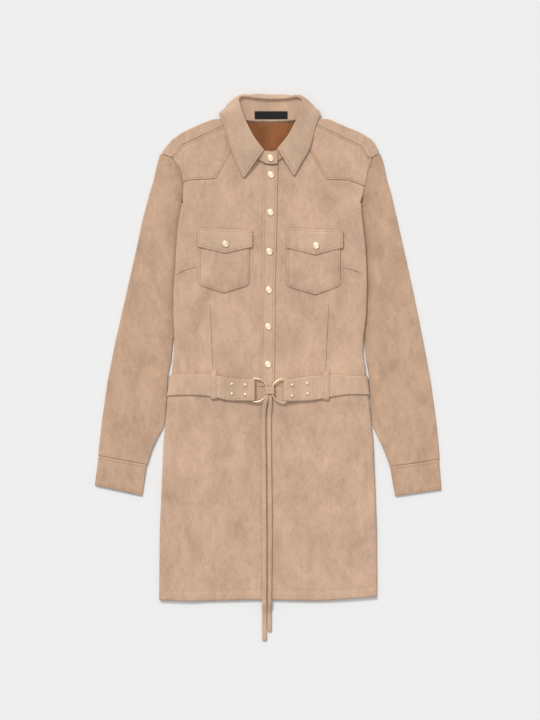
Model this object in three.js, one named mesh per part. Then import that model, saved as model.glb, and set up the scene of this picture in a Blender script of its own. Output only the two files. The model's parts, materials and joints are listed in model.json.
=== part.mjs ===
// A long-sleeved suede shirt dress laid flat on its back, with its own belt.
// Millimetres. X to the right as seen from above, Y towards the collar, Z up from the surface.
// The hem is at y = -440 and the collar's fold at y = 441. Left and right are as seen from above.
import * as THREE from 'three'

// Driving sizes
const cloth = 1.2           // thickness of every cloth wall
const seam = 0.3            // gap that parts two pieces
const pitch = cloth + seam  // from one layer's middle to the next layer's
const floor = cloth / 2     // middle height of a layer that lies on the surface
const slack = 1.0           // extra room inside the back's side folds
const frontRoll = (3 * pitch + slack) / 2
const backRoll = (pitch + slack) / 2 - 0.12
const tuck = 0.3            // how far the back's side folds stay inside the front's
const frontLevel = 4.9      // middle height of the front over the chest and skirt
const waist = -67.7         // seam between bodice and skirt
const yokeSeam = 300        // seam between back and back yoke
const armTurn = 253         // where the armhole passes under the side fold
const armpit = 190
const beltThick = 2
const snapRadius = 6.1
const ringRadius = 20.5
const wire = 1.4

const suede = new THREE.MeshStandardMaterial({ color: 0xcdac91, roughness: 0.95, metalness: 0 })
const gold = new THREE.MeshStandardMaterial({ color: 0xd8b46a, roughness: 0.3, metalness: 1 })
const black = new THREE.MeshStandardMaterial({ color: 0x26262a, roughness: 0.6, metalness: 0 })

// Tables of the outline, as rows of named columns; values between the rows are interpolated
function table(names, rows) {
  const keys = names.split(' ')
  return rows.map((row) => Object.fromEntries(keys.map((key, i) => [key, row[i]])))
}

function read(rows, from, to, value) {
  const up = rows[rows.length - 1][from] > rows[0][from]
  let i = 0
  while (i < rows.length - 2 && (up ? value > rows[i + 1][from] : value < rows[i + 1][from])) i++
  const a = rows[i]
  const b = rows[i + 1]
  const share = THREE.MathUtils.clamp((value - a[from]) / (b[from] - a[from]), 0, 1)
  return a[to] + (b[to] - a[to]) * share
}

// Side folds of the body. Above the armhole's turn the lines flare to the virtual fold of the sides.
const sides = table('y left right turned', [
  [340, 192, 204, 50],
  [291, 169, 188, 50],
  [253, 150, 163, 52],
  [226, 155.6, 165.5, 55],
  [206, 158, 167.5, 56],
  [179, 160, 171, 56],
  [139, 162, 173, 52],
  [103, 165.2, 174, 46],
  [52, 165, 171.5, 36],
  [17, 164, 167, 27],
  [-7, 164, 166, 20],
  [-33, 167, 170, 14],
  [-67, 169, 171, 11],
  [-100, 176, 177.5, 14],
  [-160, 182, 184, 28],
  [-230, 185, 187, 40],
  [-318, 189, 190, 46],
  [-441, 190, 190.6, 48],
])
const hemLine = table('x y', [
  [-190, -439.4], [-140, -441.4], [-10, -438.7], [91, -440.8], [190.6, -433.3],
])
// Neckline in front and the lower edge of the front yokes, from one armhole to the other
const frontTop = table('x y', [
  [-170, 288], [-148.5, 289.6], [-140, 293.5], [-91, 296], [-63, 346], [-50, 366], [-40, 352], [-22, 334],
  [2.7, 321], [28, 335], [48, 354], [58, 369], [72.6, 346], [102, 294], [140.5, 294], [160, 284], [186, 280],
])
const armhole = table('y left right', [
  [340, 186, 194.4], [334, 168, 182.5], [321, 157, 178], [308.5, 151, 174], [288, 148, 169.6],
  [268, 148.6, 165.5], [253, 150, 163],
])
const shoulderLine = table('x y', [
  [-186, 340], [-182, 347], [-168, 364.5], [-149, 377.5], [-117, 392.5], [-95, 400.5], [-50, 402],
])
const shoulderLineRight = table('x y', [
  [58, 402], [106, 401], [137, 387], [161, 377.5], [182, 364.5], [191, 351], [194.4, 341],
])
const forwardSeam = table('x y', [
  [-186, 340], [-168, 333.5], [-160, 341], [-152, 355], [-78, 389], [-52, 392],
])
const forwardSeamRight = table('x y', [
  [60, 392], [90.5, 389], [163, 354], [176, 332], [183, 334], [194.4, 341],
])
const backNeck = table('x y', [[-50, 398], [-43, 396], [3, 393.4], [52, 396], [58, 398]])

// Soft troughs and ridges of the front, each from one end to the other
const folds = table('x1 y1 x2 y2 half height', [
  [118, 270, 134, 60, 26, -1.1],
  [150, 235, 156, 70, 24, 0.7],
  [-142, 60, -156, -30, 20, -0.7],
  [-60, 40, -58, -40, 30, 0.5],
  [52, 60, 62, -30, 28, -0.5],
  [-110, -130, -128, -400, 40, 0.9],
  [70, -140, 96, -380, 44, -0.9],
  [20, -210, 30, -430, 36, 0.7],
  [150, -150, 140, -300, 32, 0.6],
])

const smooth = (value) => THREE.MathUtils.smoothstep(value, 0, 1)
const mix = THREE.MathUtils.lerp
const sideName = (side) => (side < 0 ? 'left' : 'right')
const rollStart = (side, y) => read(sides, 'y', sideName(side), y) - floor - frontRoll
const turned = (y) => read(sides, 'y', 'turned', y)

// How far under the body the armhole's lower curve lies at a height between armpit and turn
function armholeUnder(side, y) {
  const share = THREE.MathUtils.clamp((y - armpit) / (armTurn - armpit), 0, 1)
  return rollStart(side, y) - turned(armpit) * (1 - share ** 0.62)
}

// Inner edge of the sleeves, as a distance from the middle line
const sleeveInner = table('y left right', [
  [190, 99, 110], [130, 120, 126], [60, 150, 152], [15, 169, 170], [-20, 174, 175], [-60, 183, 184],
  [-100, 184, 184], [-131, 184, 184], [-160.5, 196, 196], [-178, 203, 203], [-204, 211, 213],
])

function innerEdge(side, y) {
  if (y > armTurn) return read(armhole, 'y', sideName(side), y)
  if (y > armpit) return armholeUnder(side, y)
  return read(sleeveInner, 'y', sideName(side), y)
}

// Height of what lies beneath the body: the sleeves, the belt's back and the collar's fall
function beneath(x, y) {
  const side = x < 0 ? -1 : 1
  const into = Math.abs(x) - (y > armTurn ? read(sides, 'y', sideName(side), y) : innerEdge(side, y))
  const overSleeve = 2 * pitch * smooth((y + 20) / 40) * smooth((into + 44) / 24) * (1 - smooth((y - armTurn + 2) / 26))
  const overBelt = (beltThick + seam) * smooth((58 - Math.abs(y - waist)) / 37)
  const overFall = (pitch + 0.5) * smooth((y - 356) / 22) * smooth((100 - Math.abs(x - 4)) / 16)
  return Math.max(overSleeve, overBelt, overFall)
}

function foldHeight(x, y) {
  let sum = 0
  for (const fold of folds) {
    const length2 = (fold.x2 - fold.x1) ** 2 + (fold.y2 - fold.y1) ** 2
    const along = ((x - fold.x1) * (fold.x2 - fold.x1) + (y - fold.y1) * (fold.y2 - fold.y1)) / length2
    const near = THREE.MathUtils.clamp(along, 0, 1)
    const away = Math.hypot(x - mix(fold.x1, fold.x2, near), y - mix(fold.y1, fold.y2, near)) / fold.half
    const fade = 1 - Math.abs(2 * near - 1) ** 2
    if (away < 1) sum += fold.height * fade * (0.5 + 0.5 * Math.cos(Math.PI * away))
  }
  return sum
}

// Middle heights of the front and the back between their side folds
function levels(x, y) {
  const side = x < 0 ? -1 : 1
  const inside = rollStart(side, y) - Math.abs(x) - turned(y)
  const folded = 1 - smooth((y - armTurn) / 34)
  const under = beneath(x, y)
  const back = under + floor + (frontRoll + backRoll - 0.12) * folded * (1 - smooth((inside - 4) / 20))
  const nearSide = folded * (1 - smooth((inside - 4) / 45))
  const open = frontLevel + Math.min(under, 2 * pitch) - 0.5 * smooth((y - 300) / 60) + foldHeight(x, y)
  const front = mix(open, under + floor + 2 * frontRoll, nearSide)
  return { back, front: Math.max(front, back + pitch + 0.3 * smooth(inside / 10 + 4)) }
}

const frontHeight = (x, y) => levels(x, y).front

// Height that clears the front's facets around a place
const reach = 7
const clearHeight = (x, y) => Math.max(frontHeight(x, y),
  frontHeight(x - reach, y), frontHeight(x + reach, y), frontHeight(x, y - reach), frontHeight(x, y + reach))

// Closed wall of one thickness around a grid of middle points
function wall(grid, thickness = cloth) {
  const rows = grid.length
  const cols = grid[0].length
  const faces = [[], []]
  for (let i = 0; i < rows; i++) {
    for (let j = 0; j < cols; j++) {
      const along = grid[Math.min(i + 1, rows - 1)][j].clone().sub(grid[Math.max(i - 1, 0)][j])
      const across = grid[i][Math.min(j + 1, cols - 1)].clone().sub(grid[i][Math.max(j - 1, 0)])
      const normal = across.cross(along).normalize().multiplyScalar(thickness / 2)
      faces[0].push(grid[i][j].clone().add(normal))
      faces[1].push(grid[i][j].clone().sub(normal))
    }
  }
  const count = rows * cols
  const index = []
  const quad = (a, b, c, d) => index.push(a, b, c, a, c, d)
  const at = (i, j) => i * cols + j
  for (let i = 0; i < rows - 1; i++) {
    for (let j = 0; j < cols - 1; j++) {
      quad(at(i, j), at(i, j + 1), at(i + 1, j + 1), at(i + 1, j))
      quad(count + at(i, j), count + at(i + 1, j), count + at(i + 1, j + 1), count + at(i, j + 1))
    }
  }
  const rim = []
  for (let j = 0; j < cols; j++) rim.push(at(0, j))
  for (let i = 1; i < rows; i++) rim.push(at(i, cols - 1))
  for (let j = cols - 2; j >= 0; j--) rim.push(at(rows - 1, j))
  for (let i = rows - 2; i > 0; i--) rim.push(at(i, 0))
  rim.forEach((a, k) => {
    const b = rim[(k + 1) % rim.length]
    quad(b, a, count + a, count + b)
  })
  const geometry = new THREE.BufferGeometry()
  geometry.setAttribute('position', new THREE.Float32BufferAttribute(faces.flat().flatMap((p) => p.toArray()), 3))
  geometry.setIndex(outward(geometry, index))
  geometry.computeVertexNormals()
  return geometry
}

// Turns every triangle round where the signed volume shows that the faces point inwards
function outward(geometry, index) {
  const place = geometry.getAttribute('position')
  const [a, b, c] = [new THREE.Vector3(), new THREE.Vector3(), new THREE.Vector3()]
  let volume = 0
  for (let k = 0; k < index.length; k += 3) {
    a.fromBufferAttribute(place, index[k])
    b.fromBufferAttribute(place, index[k + 1])
    c.fromBufferAttribute(place, index[k + 2])
    volume += a.dot(b.cross(c))
  }
  return volume > 0 ? index : index.flatMap((v, k) => (k % 3 === 2 ? [] : k % 3 === 0 ? [v] : [index[k + 1], v]))
}

const dress = new THREE.Group()

function piece(name, geometry, material = suede) {
  const mesh = new THREE.Mesh(geometry, material)
  mesh.name = name
  dress.add(mesh)
  return mesh
}

// Shares 0 to 1, n + 1 of them
const steps = (n) => Array.from({ length: n + 1 }, (_, i) => i / n)
const point = (x, y, z) => new THREE.Vector3(x, y, z)

// One column of a body panel: strip turned under, roll at the side fold, or the panel's main part.
// place gives x and z at a height y; layer is 'front' or 'back'.
function mainColumn(layer, share, middle) {
  return (y) => {
    const side = share < 0 ? -1 : 1
    const edge = rollStart(side, y) - (layer === 'back' ? tuck : 0)
    const x = mix(middle, side * edge, Math.abs(share))
    return point(x, y, levels(x, y)[layer])
  }
}

function rollColumn(layer, side, angle) {
  const radius = layer === 'front' ? frontRoll : backRoll
  return (y) => {
    const start = rollStart(side, y) - (layer === 'back' ? tuck : 0)
    const centre = beneath(side * start, y) + floor + frontRoll
    return point(side * (start + radius * Math.sin(angle)), y, centre + radius * Math.cos(angle))
  }
}

function stripColumn(layer, side, share) {
  return (y) => {
    const x = side * (rollStart(side, y) - share * turned(y))
    return point(x, y, beneath(x, y) + floor + (layer === 'front' ? 0 : pitch))
  }
}

// Top of a column: the armhole's lower curve on a strip, and elsewhere the first y past the outline
function columnTop(column, edgeInside) {
  let low = armpit - 40
  let high = 412
  for (let k = 0; k < 24; k++) {
    const y = (low + high) / 2
    if (edgeInside(column(y).x, y)) low = y
    else high = y
  }
  return low
}

function stripTop(share) {
  return armpit + (armTurn - armpit) * (1 - share) ** (1 / 0.62)
}

function bodyColumns(layer, side, mainShares, middle, edgeInside, armed) {
  const rollTop = layer === 'back' ? armTurn - 9 : armTurn
  const columns = mainShares.map((share) => {
    const place = mainColumn(layer, side * share, middle)
    if (!armed) return { place, top: waist - seam / 2 }
    return { place, top: share === 1 ? rollTop : columnTop(place, edgeInside) }
  })
  const rolls = [45, 90, 135, 180].map((degrees) => (degrees * Math.PI) / 180)
  const turn = armed ? rollTop - 0.5 : waist - seam / 2
  rolls.forEach((angle) => columns.push({ place: rollColumn(layer, side, angle), top: turn }))
  for (const share of [0.33, 0.67, 1]) {
    columns.push({ place: stripColumn(layer, side, share), top: armed ? stripTop(share) : turn })
  }
  return columns
}

// Rows at heights that all columns share, and above the last of them evenly up to each column's top
function fillColumns(columns, levelsShared, extra, bottomOf) {
  const last = levelsShared[levelsShared.length - 1]
  const rows = levelsShared.map((y) => columns.map(({ place }) => place(y === 'foot' ? bottomOf(place(waist).x) : y)))
  for (let k = 1; k <= extra; k++) {
    rows.push(columns.map(({ place, top }) => place(mix(last, top, k / extra))))
  }
  return rows
}

const frontInside = (x, y) => y < read(frontTop, 'x', 'y', x) - seam / 2
  && (y < armTurn || Math.abs(x) < read(armhole, 'y', x < 0 ? 'left' : 'right', y) - seam)
const backInside = (x, y) => y < yokeSeam - seam / 2
  && (y < armTurn || Math.abs(x) < read(armhole, 'y', x < 0 ? 'left' : 'right', y) - 8 * seam)
const bodiceRows = [waist + seam / 2, -46, -30, -12, 15, 50, 90, 135, 178]
const middleLine = 2.7

// Front halves of the bodice, parted under the placket
const frontShares = [0, 0.12, 0.24, 0.34, 0.44, 0.546, 0.645, 0.74, 0.835, 0.9, 0.96, 1]
for (const side of [-1, 1]) {
  const columns = bodyColumns('front', side, frontShares, middleLine + side * seam / 2, frontInside, true)
  if (side < 0) columns.reverse()
  piece(`bodice_front_${sideName(side)}`, wall(fillColumns(columns, bodiceRows, 4)))
}

// Back of the bodice, from one side seam round both folds to the other
const backShares = [0, 0.24, 0.44, 0.546, 0.645, 0.74, 0.835, 0.9, 0.96, 1]
function bothSides(layer, shares, edgeInside, armed, middle) {
  const left = bodyColumns(layer, -1, shares, middle, edgeInside, armed).reverse()
  const right = bodyColumns(layer, 1, shares.slice(1), middle, edgeInside, armed)
  return [...left, ...right]
}
piece('bodice_back', wall(fillColumns(bothSides('back', backShares, backInside, true, middleLine), bodiceRows, 4)))

// Skirt front and back; the back's underside lies on the surface
const hem = (x) => read(hemLine, 'x', 'y', x)
const skirtShares = [0, 0.17, 0.34, 0.48, 0.59, 0.7, 0.8, 0.9, 1]
const skirtRows = ['foot', -390, -330, -270, -210, -160, -126, -106, -88]
piece('skirt_front', wall(fillColumns(bothSides('front', skirtShares, null, false, 0), skirtRows, 1, hem)))
piece('skirt_back', wall(fillColumns(bothSides('back', skirtShares, null, false, 0), skirtRows, 1, hem)))

// Patch between four edges (Coons): bottom and top run the same way, start and end join them
function patch(bottom, top, start, end, across, up, height) {
  return steps(up).map((v) => steps(across).map((u) => {
    const flat = (k) => (1 - v) * bottom(u)[k] + v * top(u)[k] + (1 - u) * start(v)[k] + u * end(v)[k]
      - (1 - u) * (1 - v) * bottom(0)[k] - u * (1 - v) * bottom(1)[k]
      - (1 - u) * v * top(0)[k] - u * v * top(1)[k]
    const [x, y] = [flat(0), flat(1)]
    return point(x, y, height(x, y))
  }))
}

// Walks along a list of corner points by length
function walk(points) {
  const lengths = points.slice(1).map((p, i) => Math.hypot(p[0] - points[i][0], p[1] - points[i][1]))
  const total = lengths.reduce((a, b) => a + b, 0)
  return (share) => {
    let left = share * total
    let i = 0
    while (i < lengths.length - 1 && left > lengths[i]) left -= lengths[i++]
    const part = Math.min(left / lengths[i], 1)
    return [mix(points[i][0], points[i + 1][0], part), mix(points[i][1], points[i + 1][1], part)]
  }
}

// Front yokes, between armhole, forward shoulder seam, neckline and the front panels
const yokeLeft = {
  bottom: [[-148, 290.2], [-140, 294.1], [-91.2, 296.6], [-63.2, 346.6], [-50.3, 366.6]],
  top: [[-161.8, 335.5], [-159.2, 340.6], [-151.6, 354.2], [-78, 388.3], [-52, 391.3]],
}
const yokeRight = {
  bottom: [[58.3, 369.6], [72.9, 346.8], [102.4, 294.8], [140.5, 294.6], [168.6, 284]],
  top: [[60, 391.3], [90.5, 388.3], [162.6, 353.3], [175.6, 331.2], [176, 329.5]],
}
piece('yoke_front_left', wall(patch(walk(yokeLeft.bottom), walk(yokeLeft.top),
  walk([yokeLeft.bottom[0], [-150.4, 308.5], [-156.4, 321], yokeLeft.top[0]]),
  walk([yokeLeft.bottom[4], [-52, 380], yokeLeft.top[4]]), 12, 5, frontHeight)))
piece('yoke_front_right', wall(patch(walk(yokeRight.bottom), walk(yokeRight.top),
  walk([yokeRight.bottom[0], [60, 385], yokeRight.top[0]]),
  walk([yokeRight.bottom[4], [173, 308], yokeRight.top[4]]), 12, 5, frontHeight)))

// Back yoke: up the back from its seam, over each shoulder, down to the forward seams
const shoulderRoll = 1.9
function yokeBackColumn(x) {
  const onLeft = x < -50
  const onRight = x > 58
  const armY = read(armhole, x < 0 ? 'left' : 'right', 'y', Math.abs(x) + 0.6)
  const foot = Math.max(yokeSeam + seam / 2, armY + 0.8)
  if (!onLeft && !onRight) {
    const top = read(backNeck, 'x', 'y', x)
    return steps(10).map((v) => {
      const y = mix(foot, top, v)
      return point(x, y, beneath(x, y) + floor)
    })
  }
  const crest = read(onLeft ? shoulderLine : shoulderLineRight, 'x', 'y', x) - floor - shoulderRoll
  const end = Math.min(read(onLeft ? forwardSeam : forwardSeamRight, 'x', 'y', x) + seam / 2, crest)
  const rise = steps(4).map((v) => {
    const y = mix(Math.min(foot, crest - 1), crest, v)
    return point(x, y, beneath(x, y) + floor)
  })
  const low = beneath(x, crest) + floor
  const over = [45, 90, 135].map((degrees) => {
    const angle = (degrees * Math.PI) / 180
    return point(x, crest + shoulderRoll * Math.sin(angle), low + shoulderRoll * (1 - Math.cos(angle)))
  })
  const down = steps(2).map((v) => {
    const y = mix(crest, end, v)
    return point(x, y, mix(low + 2 * shoulderRoll, frontHeight(x, end), smooth(v)))
  })
  return [...rise, ...over, ...down]
}
const yokeStations = [-184.4, -177, -168, -160, -152, -136, -116, -95, -78, -64, -52, -48, -36, -16, 4, 26, 46,
  56, 60, 74, 90.5, 106, 122, 142, 163, 170, 176, 183, 188, 192.6]
piece('yoke_back', wall(yokeStations.map(yokeBackColumn)))

// Sleeves: one cut piece each, from the armhole in front over the outer fold to the armhole behind
const outer = table('y left right', [
  [340, 187, 195], [329.5, 191, 201], [312, 196, 205], [294.5, 199, 208], [277, 205, 214], [224.5, 219, 226],
  [154.5, 234, 242], [84.5, 250, 257], [14.5, 266, 271], [-55.5, 280, 284], [-125.5, 290, 294],
  [-186.5, 296.6, 300],
])
const cuffs = table('side innerTopX innerTopY outerTopX outerTopY innerEndX innerEndY outerEndX outerEndY', [
  [-1, -211.5, -203.8, -295.8, -187.9, -219.8, -257, -302.6, -239.2],
  [1, 213.5, -207.3, 299, -194.9, 222.3, -258, 303.4, -246.3],
])
const sleeveRoll = 1.4
const rowTable = table('inner outer', [
  [333, 338.5], [321, 327], [306, 314], [288, 298], [270, 281], [253, 266], [232, 248], [208, 228],
  [190, 205], [130, 150], [60, 80], [15, 35], [-20, -3], [-60, -42], [-100, -84], [-131, -116],
  [-160.5, -146], [-178, -166], [-203, -187],
])

function sleeveHeight(side, x, y, seamX, seamY) {
  const away = Math.abs(x) - seamX
  const bodyEdge = read(sides, 'y', sideName(side), Math.max(y, -120))
  const seamHeight = mix(floor + pitch, frontHeight(side * (seamX - 1), seamY), smooth((seamY - armTurn) / 30))
  if (seamY > armTurn) return mix(seamHeight, floor + 2 * sleeveRoll, smooth(away / 34))
  return floor + pitch + (2 * sleeveRoll - pitch) * smooth((Math.abs(x) - bodyEdge - 1) / 24)
}

for (const side of [-1, 1]) {
  const cuff = cuffs.find((row) => row.side === side)
  const wrist = { inner: cuff.innerTopY + 0.8, outer: cuff.outerTopY + 0.7 }
  const grid = [...rowTable.slice(0, -1), wrist].map((row) => {
    const seamX = innerEdge(side, row.inner) + seam
    const edge = read(outer, 'y', sideName(side), row.outer) - floor - sleeveRoll
    const level = (u) => mix(row.inner, row.outer, u)
    const clear = row.inner > armTurn ? 0 : (read(sides, 'y', sideName(side), row.inner) + 1 - seamX) / (edge - seamX)
    const shown = Math.max(clear, 0.16)
    const top = [0, 0.5 * shown, shown, ...[0.25, 0.5, 0.75, 1].map((u) => mix(shown, 1, u))].map((u) => {
      const x = mix(seamX, edge, u)
      return point(side * x, level(u), sleeveHeight(side, x, level(u), seamX, row.inner))
    })
    const lift = sleeveHeight(side, edge, row.outer, seamX, row.inner)
    const radius = (lift - floor) / 2
    const roll = [45, 90, 135].map((degrees) => {
      const angle = (degrees * Math.PI) / 180
      return point(side * (edge + radius * Math.sin(angle)), row.outer, floor + radius * (1 + Math.cos(angle)))
    })
    const under = steps(3).map((u) => point(side * mix(edge, seamX, u), level(1 - u), floor))
    return [...top, ...roll, ...under]
  })
  piece(`sleeve_${sideName(side)}`, wall(grid))
}

// Cuffs: a band once round the sleeve's end, parted at the back
for (const cuff of cuffs) {
  const lift = 2.8
  const grid = steps(4).map((v) => {
    const inner = point(mix(cuff.innerTopX, cuff.innerEndX, v), mix(cuff.innerTopY, cuff.innerEndY, v), 0)
    const far = point(mix(cuff.outerTopX, cuff.outerEndX, v), mix(cuff.outerTopY, cuff.outerEndY, v), 0)
    const across = far.clone().sub(inner).normalize()
    const begin = inner.clone().addScaledVector(across, floor + lift / 2)
    const end = far.clone().addScaledVector(across, -floor - lift / 2)
    const flat = (u, z) => begin.clone().lerp(end, u).setZ(z)
    const round = (from, sign, degrees) => {
      const angle = (degrees * Math.PI) / 180
      const out = from.clone().addScaledVector(across, (sign * lift * Math.sin(angle)) / 2)
      return out.setZ(floor + (lift * (1 + Math.cos(angle))) / 2)
    }
    return [
      flat(0.3, floor), flat(0.15, floor), flat(0, floor),
      round(begin, -1, 135), round(begin, -1, 90), round(begin, -1, 45),
      ...steps(5).map((u) => flat(u, floor + lift)),
      round(end, 1, 45), round(end, 1, 90), round(end, 1, 135),
      flat(1, floor), flat(0.65, floor), flat(0.3, floor).addScaledVector(across, seam),
    ]
  })
  piece(`cuff_${sideName(cuff.side)}`, wall(grid))
}

// Collar stations, from the left front end round the neck's back to the right front end.
// seamX, seamY: where the stand is sewn on. foldX, foldY: its top fold. z columns: middle heights there.
const collar = table('seamX seamY seamZ foldX foldY foldZ', [
  [16.5, 322, 9.6, 17, 341.5, 10.2],
  [2, 321.5, 9.4, 3, 343, 10.2],
  [-10, 326, 8.0, -9, 344.5, 10.8],
  [-22, 334, 7.6, -17, 350.5, 12],
  [-38, 350, 7.6, -29.5, 366, 14],
  [-49, 368, 7.6, -40, 386, 15.3],
  [-52, 386, 7.8, -48, 408, 15.8],
  [-49, 398, 7.4, -52, 427, 13.8],
  [-42, 398.5, 5.8, -45, 437, 10.2],
  [-22, 396.8, 4.5, -21, 435, 8.6],
  [3, 396, 4.3, 3, 433.2, 8.2],
  [28, 396.8, 4.5, 29, 433.8, 8.6],
  [49, 398.5, 5.8, 52.4, 436.2, 10],
  [57, 399, 7.4, 62, 426, 13.8],
  [60.5, 388, 7.8, 60, 407, 15.8],
  [57, 370, 7.6, 50, 386, 15.3],
  [46, 352, 7.6, 39, 366, 14],
  [31, 337, 7.6, 26, 351.5, 12],
  [18, 328, 7.2, 15, 345, 9.8],
  [4, 322.5, 7.0, 4, 342, 8.2],
  [-8, 322.5, 6.8, -8, 340, 7.8],
])
const standRows = collar.map((row) => steps(6).map((v) => point(
  mix(row.seamX, row.foldX, v),
  mix(row.seamY, row.foldY, v),
  mix(row.seamZ, row.foldZ, v ** 1.25),
)))
piece('collar_stand', wall(standRows))

// The fall turns over the fold and ends at its free edge. outX, outY, outZ: where it lies highest or
// turns over the shoulder. edgeX, edgeY, edgeZ: the free edge, under the yoke behind the neck.
const fall = table('foldX foldY foldZ outX outY outZ edgeX edgeY edgeZ', [
  [-7, 345.5, 13.1, -22, 325, 12.0, -41.5, 297.5, 8.4],
  [-13.5, 353.5, 14.9, -36, 327, 12.2, -45, 302, 8.4],
  [-25, 369.5, 17.0, -46, 345, 12.6, -54.5, 323, 8.4],
  [-35.5, 389, 18.6, -56, 372, 12.8, -65, 348, 8.4],
  [-44, 409, 19.2, -62, 398, 13.5, -75.5, 385, 8.6],
  [-48.5, 424, 18.4, -69, 412, 13, -84, 406.5, 8.4],
  [-50.5, 433, 16.2, -70, 422, 8.5, -83, 410.5, 3.8],
  [-47, 440.3, 13.8, -66, 426, 4.6, -71, 405, 0.6],
  [-22.5, 436.6, 11.4, -25, 437, 3.4, -30, 388, 0.6],
  [3, 434.8, 10.9, 3, 435.4, 3.2, 3, 386, 0.6],
  [30, 435.4, 11.4, 33, 436, 3.4, 37, 388, 0.6],
  [55, 440.3, 13.8, 73, 426, 4.6, 78, 405, 0.6],
  [60, 433, 16.2, 77, 423, 8.5, 89.5, 413.5, 3.8],
  [57.5, 424, 18.4, 77, 413, 13, 90.5, 407, 8.4],
  [55, 409, 19.2, 71, 399, 13.5, 82.5, 386, 8.6],
  [45.5, 389, 18.6, 63, 372, 12.8, 73, 350, 8.4],
  [34.5, 369.5, 17.0, 50, 347, 12.6, 60, 326, 8.4],
  [22.5, 354.5, 14.9, 40, 328, 12.2, 48.5, 305.5, 8.4],
  [16.5, 348, 13.1, 31, 325, 12.0, 45, 301.5, 8.4],
])
const quadratic = (a, b, c, v) => mix(mix(a, 2 * b - (a + c) / 2, v), mix(2 * b - (a + c) / 2, c, v), v)
const fallRows = fall.map((row) => steps(9).map((v) => point(
  quadratic(row.foldX, row.outX, row.edgeX, v),
  quadratic(row.foldY, row.outY, row.edgeY, v),
  quadratic(row.foldZ, row.outZ, row.edgeZ, v),
)))
piece('collar_fall', wall(fallRows))

// Neck label, plain, on the inner face of the stand
const label = { x: 5.6, y: 407, wide: 57, high: 13, thick: 0.8 }
const labelRows = steps(2).map((v) => steps(6).map((u) => {
  const y = label.y + label.high * (v - 0.5)
  const x = label.x + label.wide * (u - 0.5)
  return point(x, y, standTop(x, y) + cloth / 2 + seam + label.thick / 2)
}))
piece('neck_label', wall(labelRows, label.thick), black)

function standTop(x, y) {
  const behind = collar.slice(7, 14)
  const share = (y - read(behind, 'seamX', 'seamY', x))
    / (read(behind, 'foldX', 'foldY', x) - read(behind, 'seamX', 'seamY', x))
  return mix(read(behind, 'seamX', 'seamZ', x), read(behind, 'foldX', 'foldZ', x), share ** 1.25)
}

// Placket over the meeting edges, from stand to waist
const placket = table('y left right', [
  [319.5, -8, 17.2], [294, -7.7, 16.8], [163, -9.5, 14.2], [119, -10, 12.8], [-47, -12, 11.4], [-66.5, -12.2, 11.4],
])
const placketHeight = (x, y) => Math.max(clearHeight(x, y), clearHeight(middleLine, y)) + pitch
piece('placket', wall(steps(20).map((v) => steps(2).map((u) => {
  const y = mix(-66.5, 319.5, v)
  const x = mix(read(placket, 'y', 'left', y), read(placket, 'y', 'right', y), u)
  return point(x, y, placketHeight(x, y))
}))))

// Breast pockets and their flaps, each with a pointed lower edge
const pockets = table('side left right foot tip tipX topLeft topRight', [
  [-1, -120.8, -33, 109, 96.6, -76.5, 196, 195],
  [1, 33, 126, 107, 93.6, 83, 195, 196],
])
const flaps = table('side left right foot tip tipX top', [
  [-1, -122, -27, 177, 166, -75, 207],
  [1, 33.5, 131, 175.5, 163, 83, 207],
])
for (const row of pockets) {
  piece(`pocket_${sideName(row.side)}`, wall(patch(
    walk([[row.left, row.foot], [row.tipX, row.tip], [row.right, row.foot]]),
    walk([[row.left, row.topLeft], [row.right, row.topRight]]),
    walk([[row.left, row.foot], [row.left, row.topLeft]]),
    walk([[row.right, row.foot], [row.right, row.topRight]]),
    8, 6, (x, y) => clearHeight(x, y) + pitch + 0.1)))
}
for (const row of flaps) {
  piece(`flap_${sideName(row.side)}`, wall(patch(
    walk([[row.left, row.foot], [row.tipX, row.tip], [row.right, row.foot]]),
    walk([[row.left, row.top + 2], [row.right, row.top - 2]]),
    walk([[row.left, row.foot], [row.left, row.top + 2]]),
    walk([[row.right, row.foot], [row.right, row.top - 2]]),
    8, 3, (x, y) => clearHeight(x, y) + 2 * pitch + 0.7)))
}

// Belt: from the left ring over the front, round the side, under the back and up to the right ring
const beltLine = table('x top foot', [
  [-178, -52, -84], [-166, -46.5, -81.5], [-129, -45, -81], [-96, -46, -84], [-69, -52.8, -91], [-29, -55, -91],
  [30, -56.4, -91.8], [76, -49, -91], [107, -46, -85], [139, -48, -80], [168, -49.5, -80], [181, -50, -81],
])
const beltGap = seam + 0.2
const beltOver = (x, y) => clearHeight(x, y) + cloth / 2 + beltGap + beltThick / 2
const barRoll = wire + seam + beltThick / 2
const beltRow = (y) => THREE.MathUtils.clamp(y, -100, -40)
const acrossBelt = (x, place) => steps(3).map((v) => {
  const y = mix(read(beltLine, 'x', 'foot', x), read(beltLine, 'x', 'top', x), v)
  return place(x, beltRow(y))
})
const flatOver = (x, lift = 0) => acrossBelt(x, (a, y) => point(a, y, beltOver(a, y) + lift))

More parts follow.
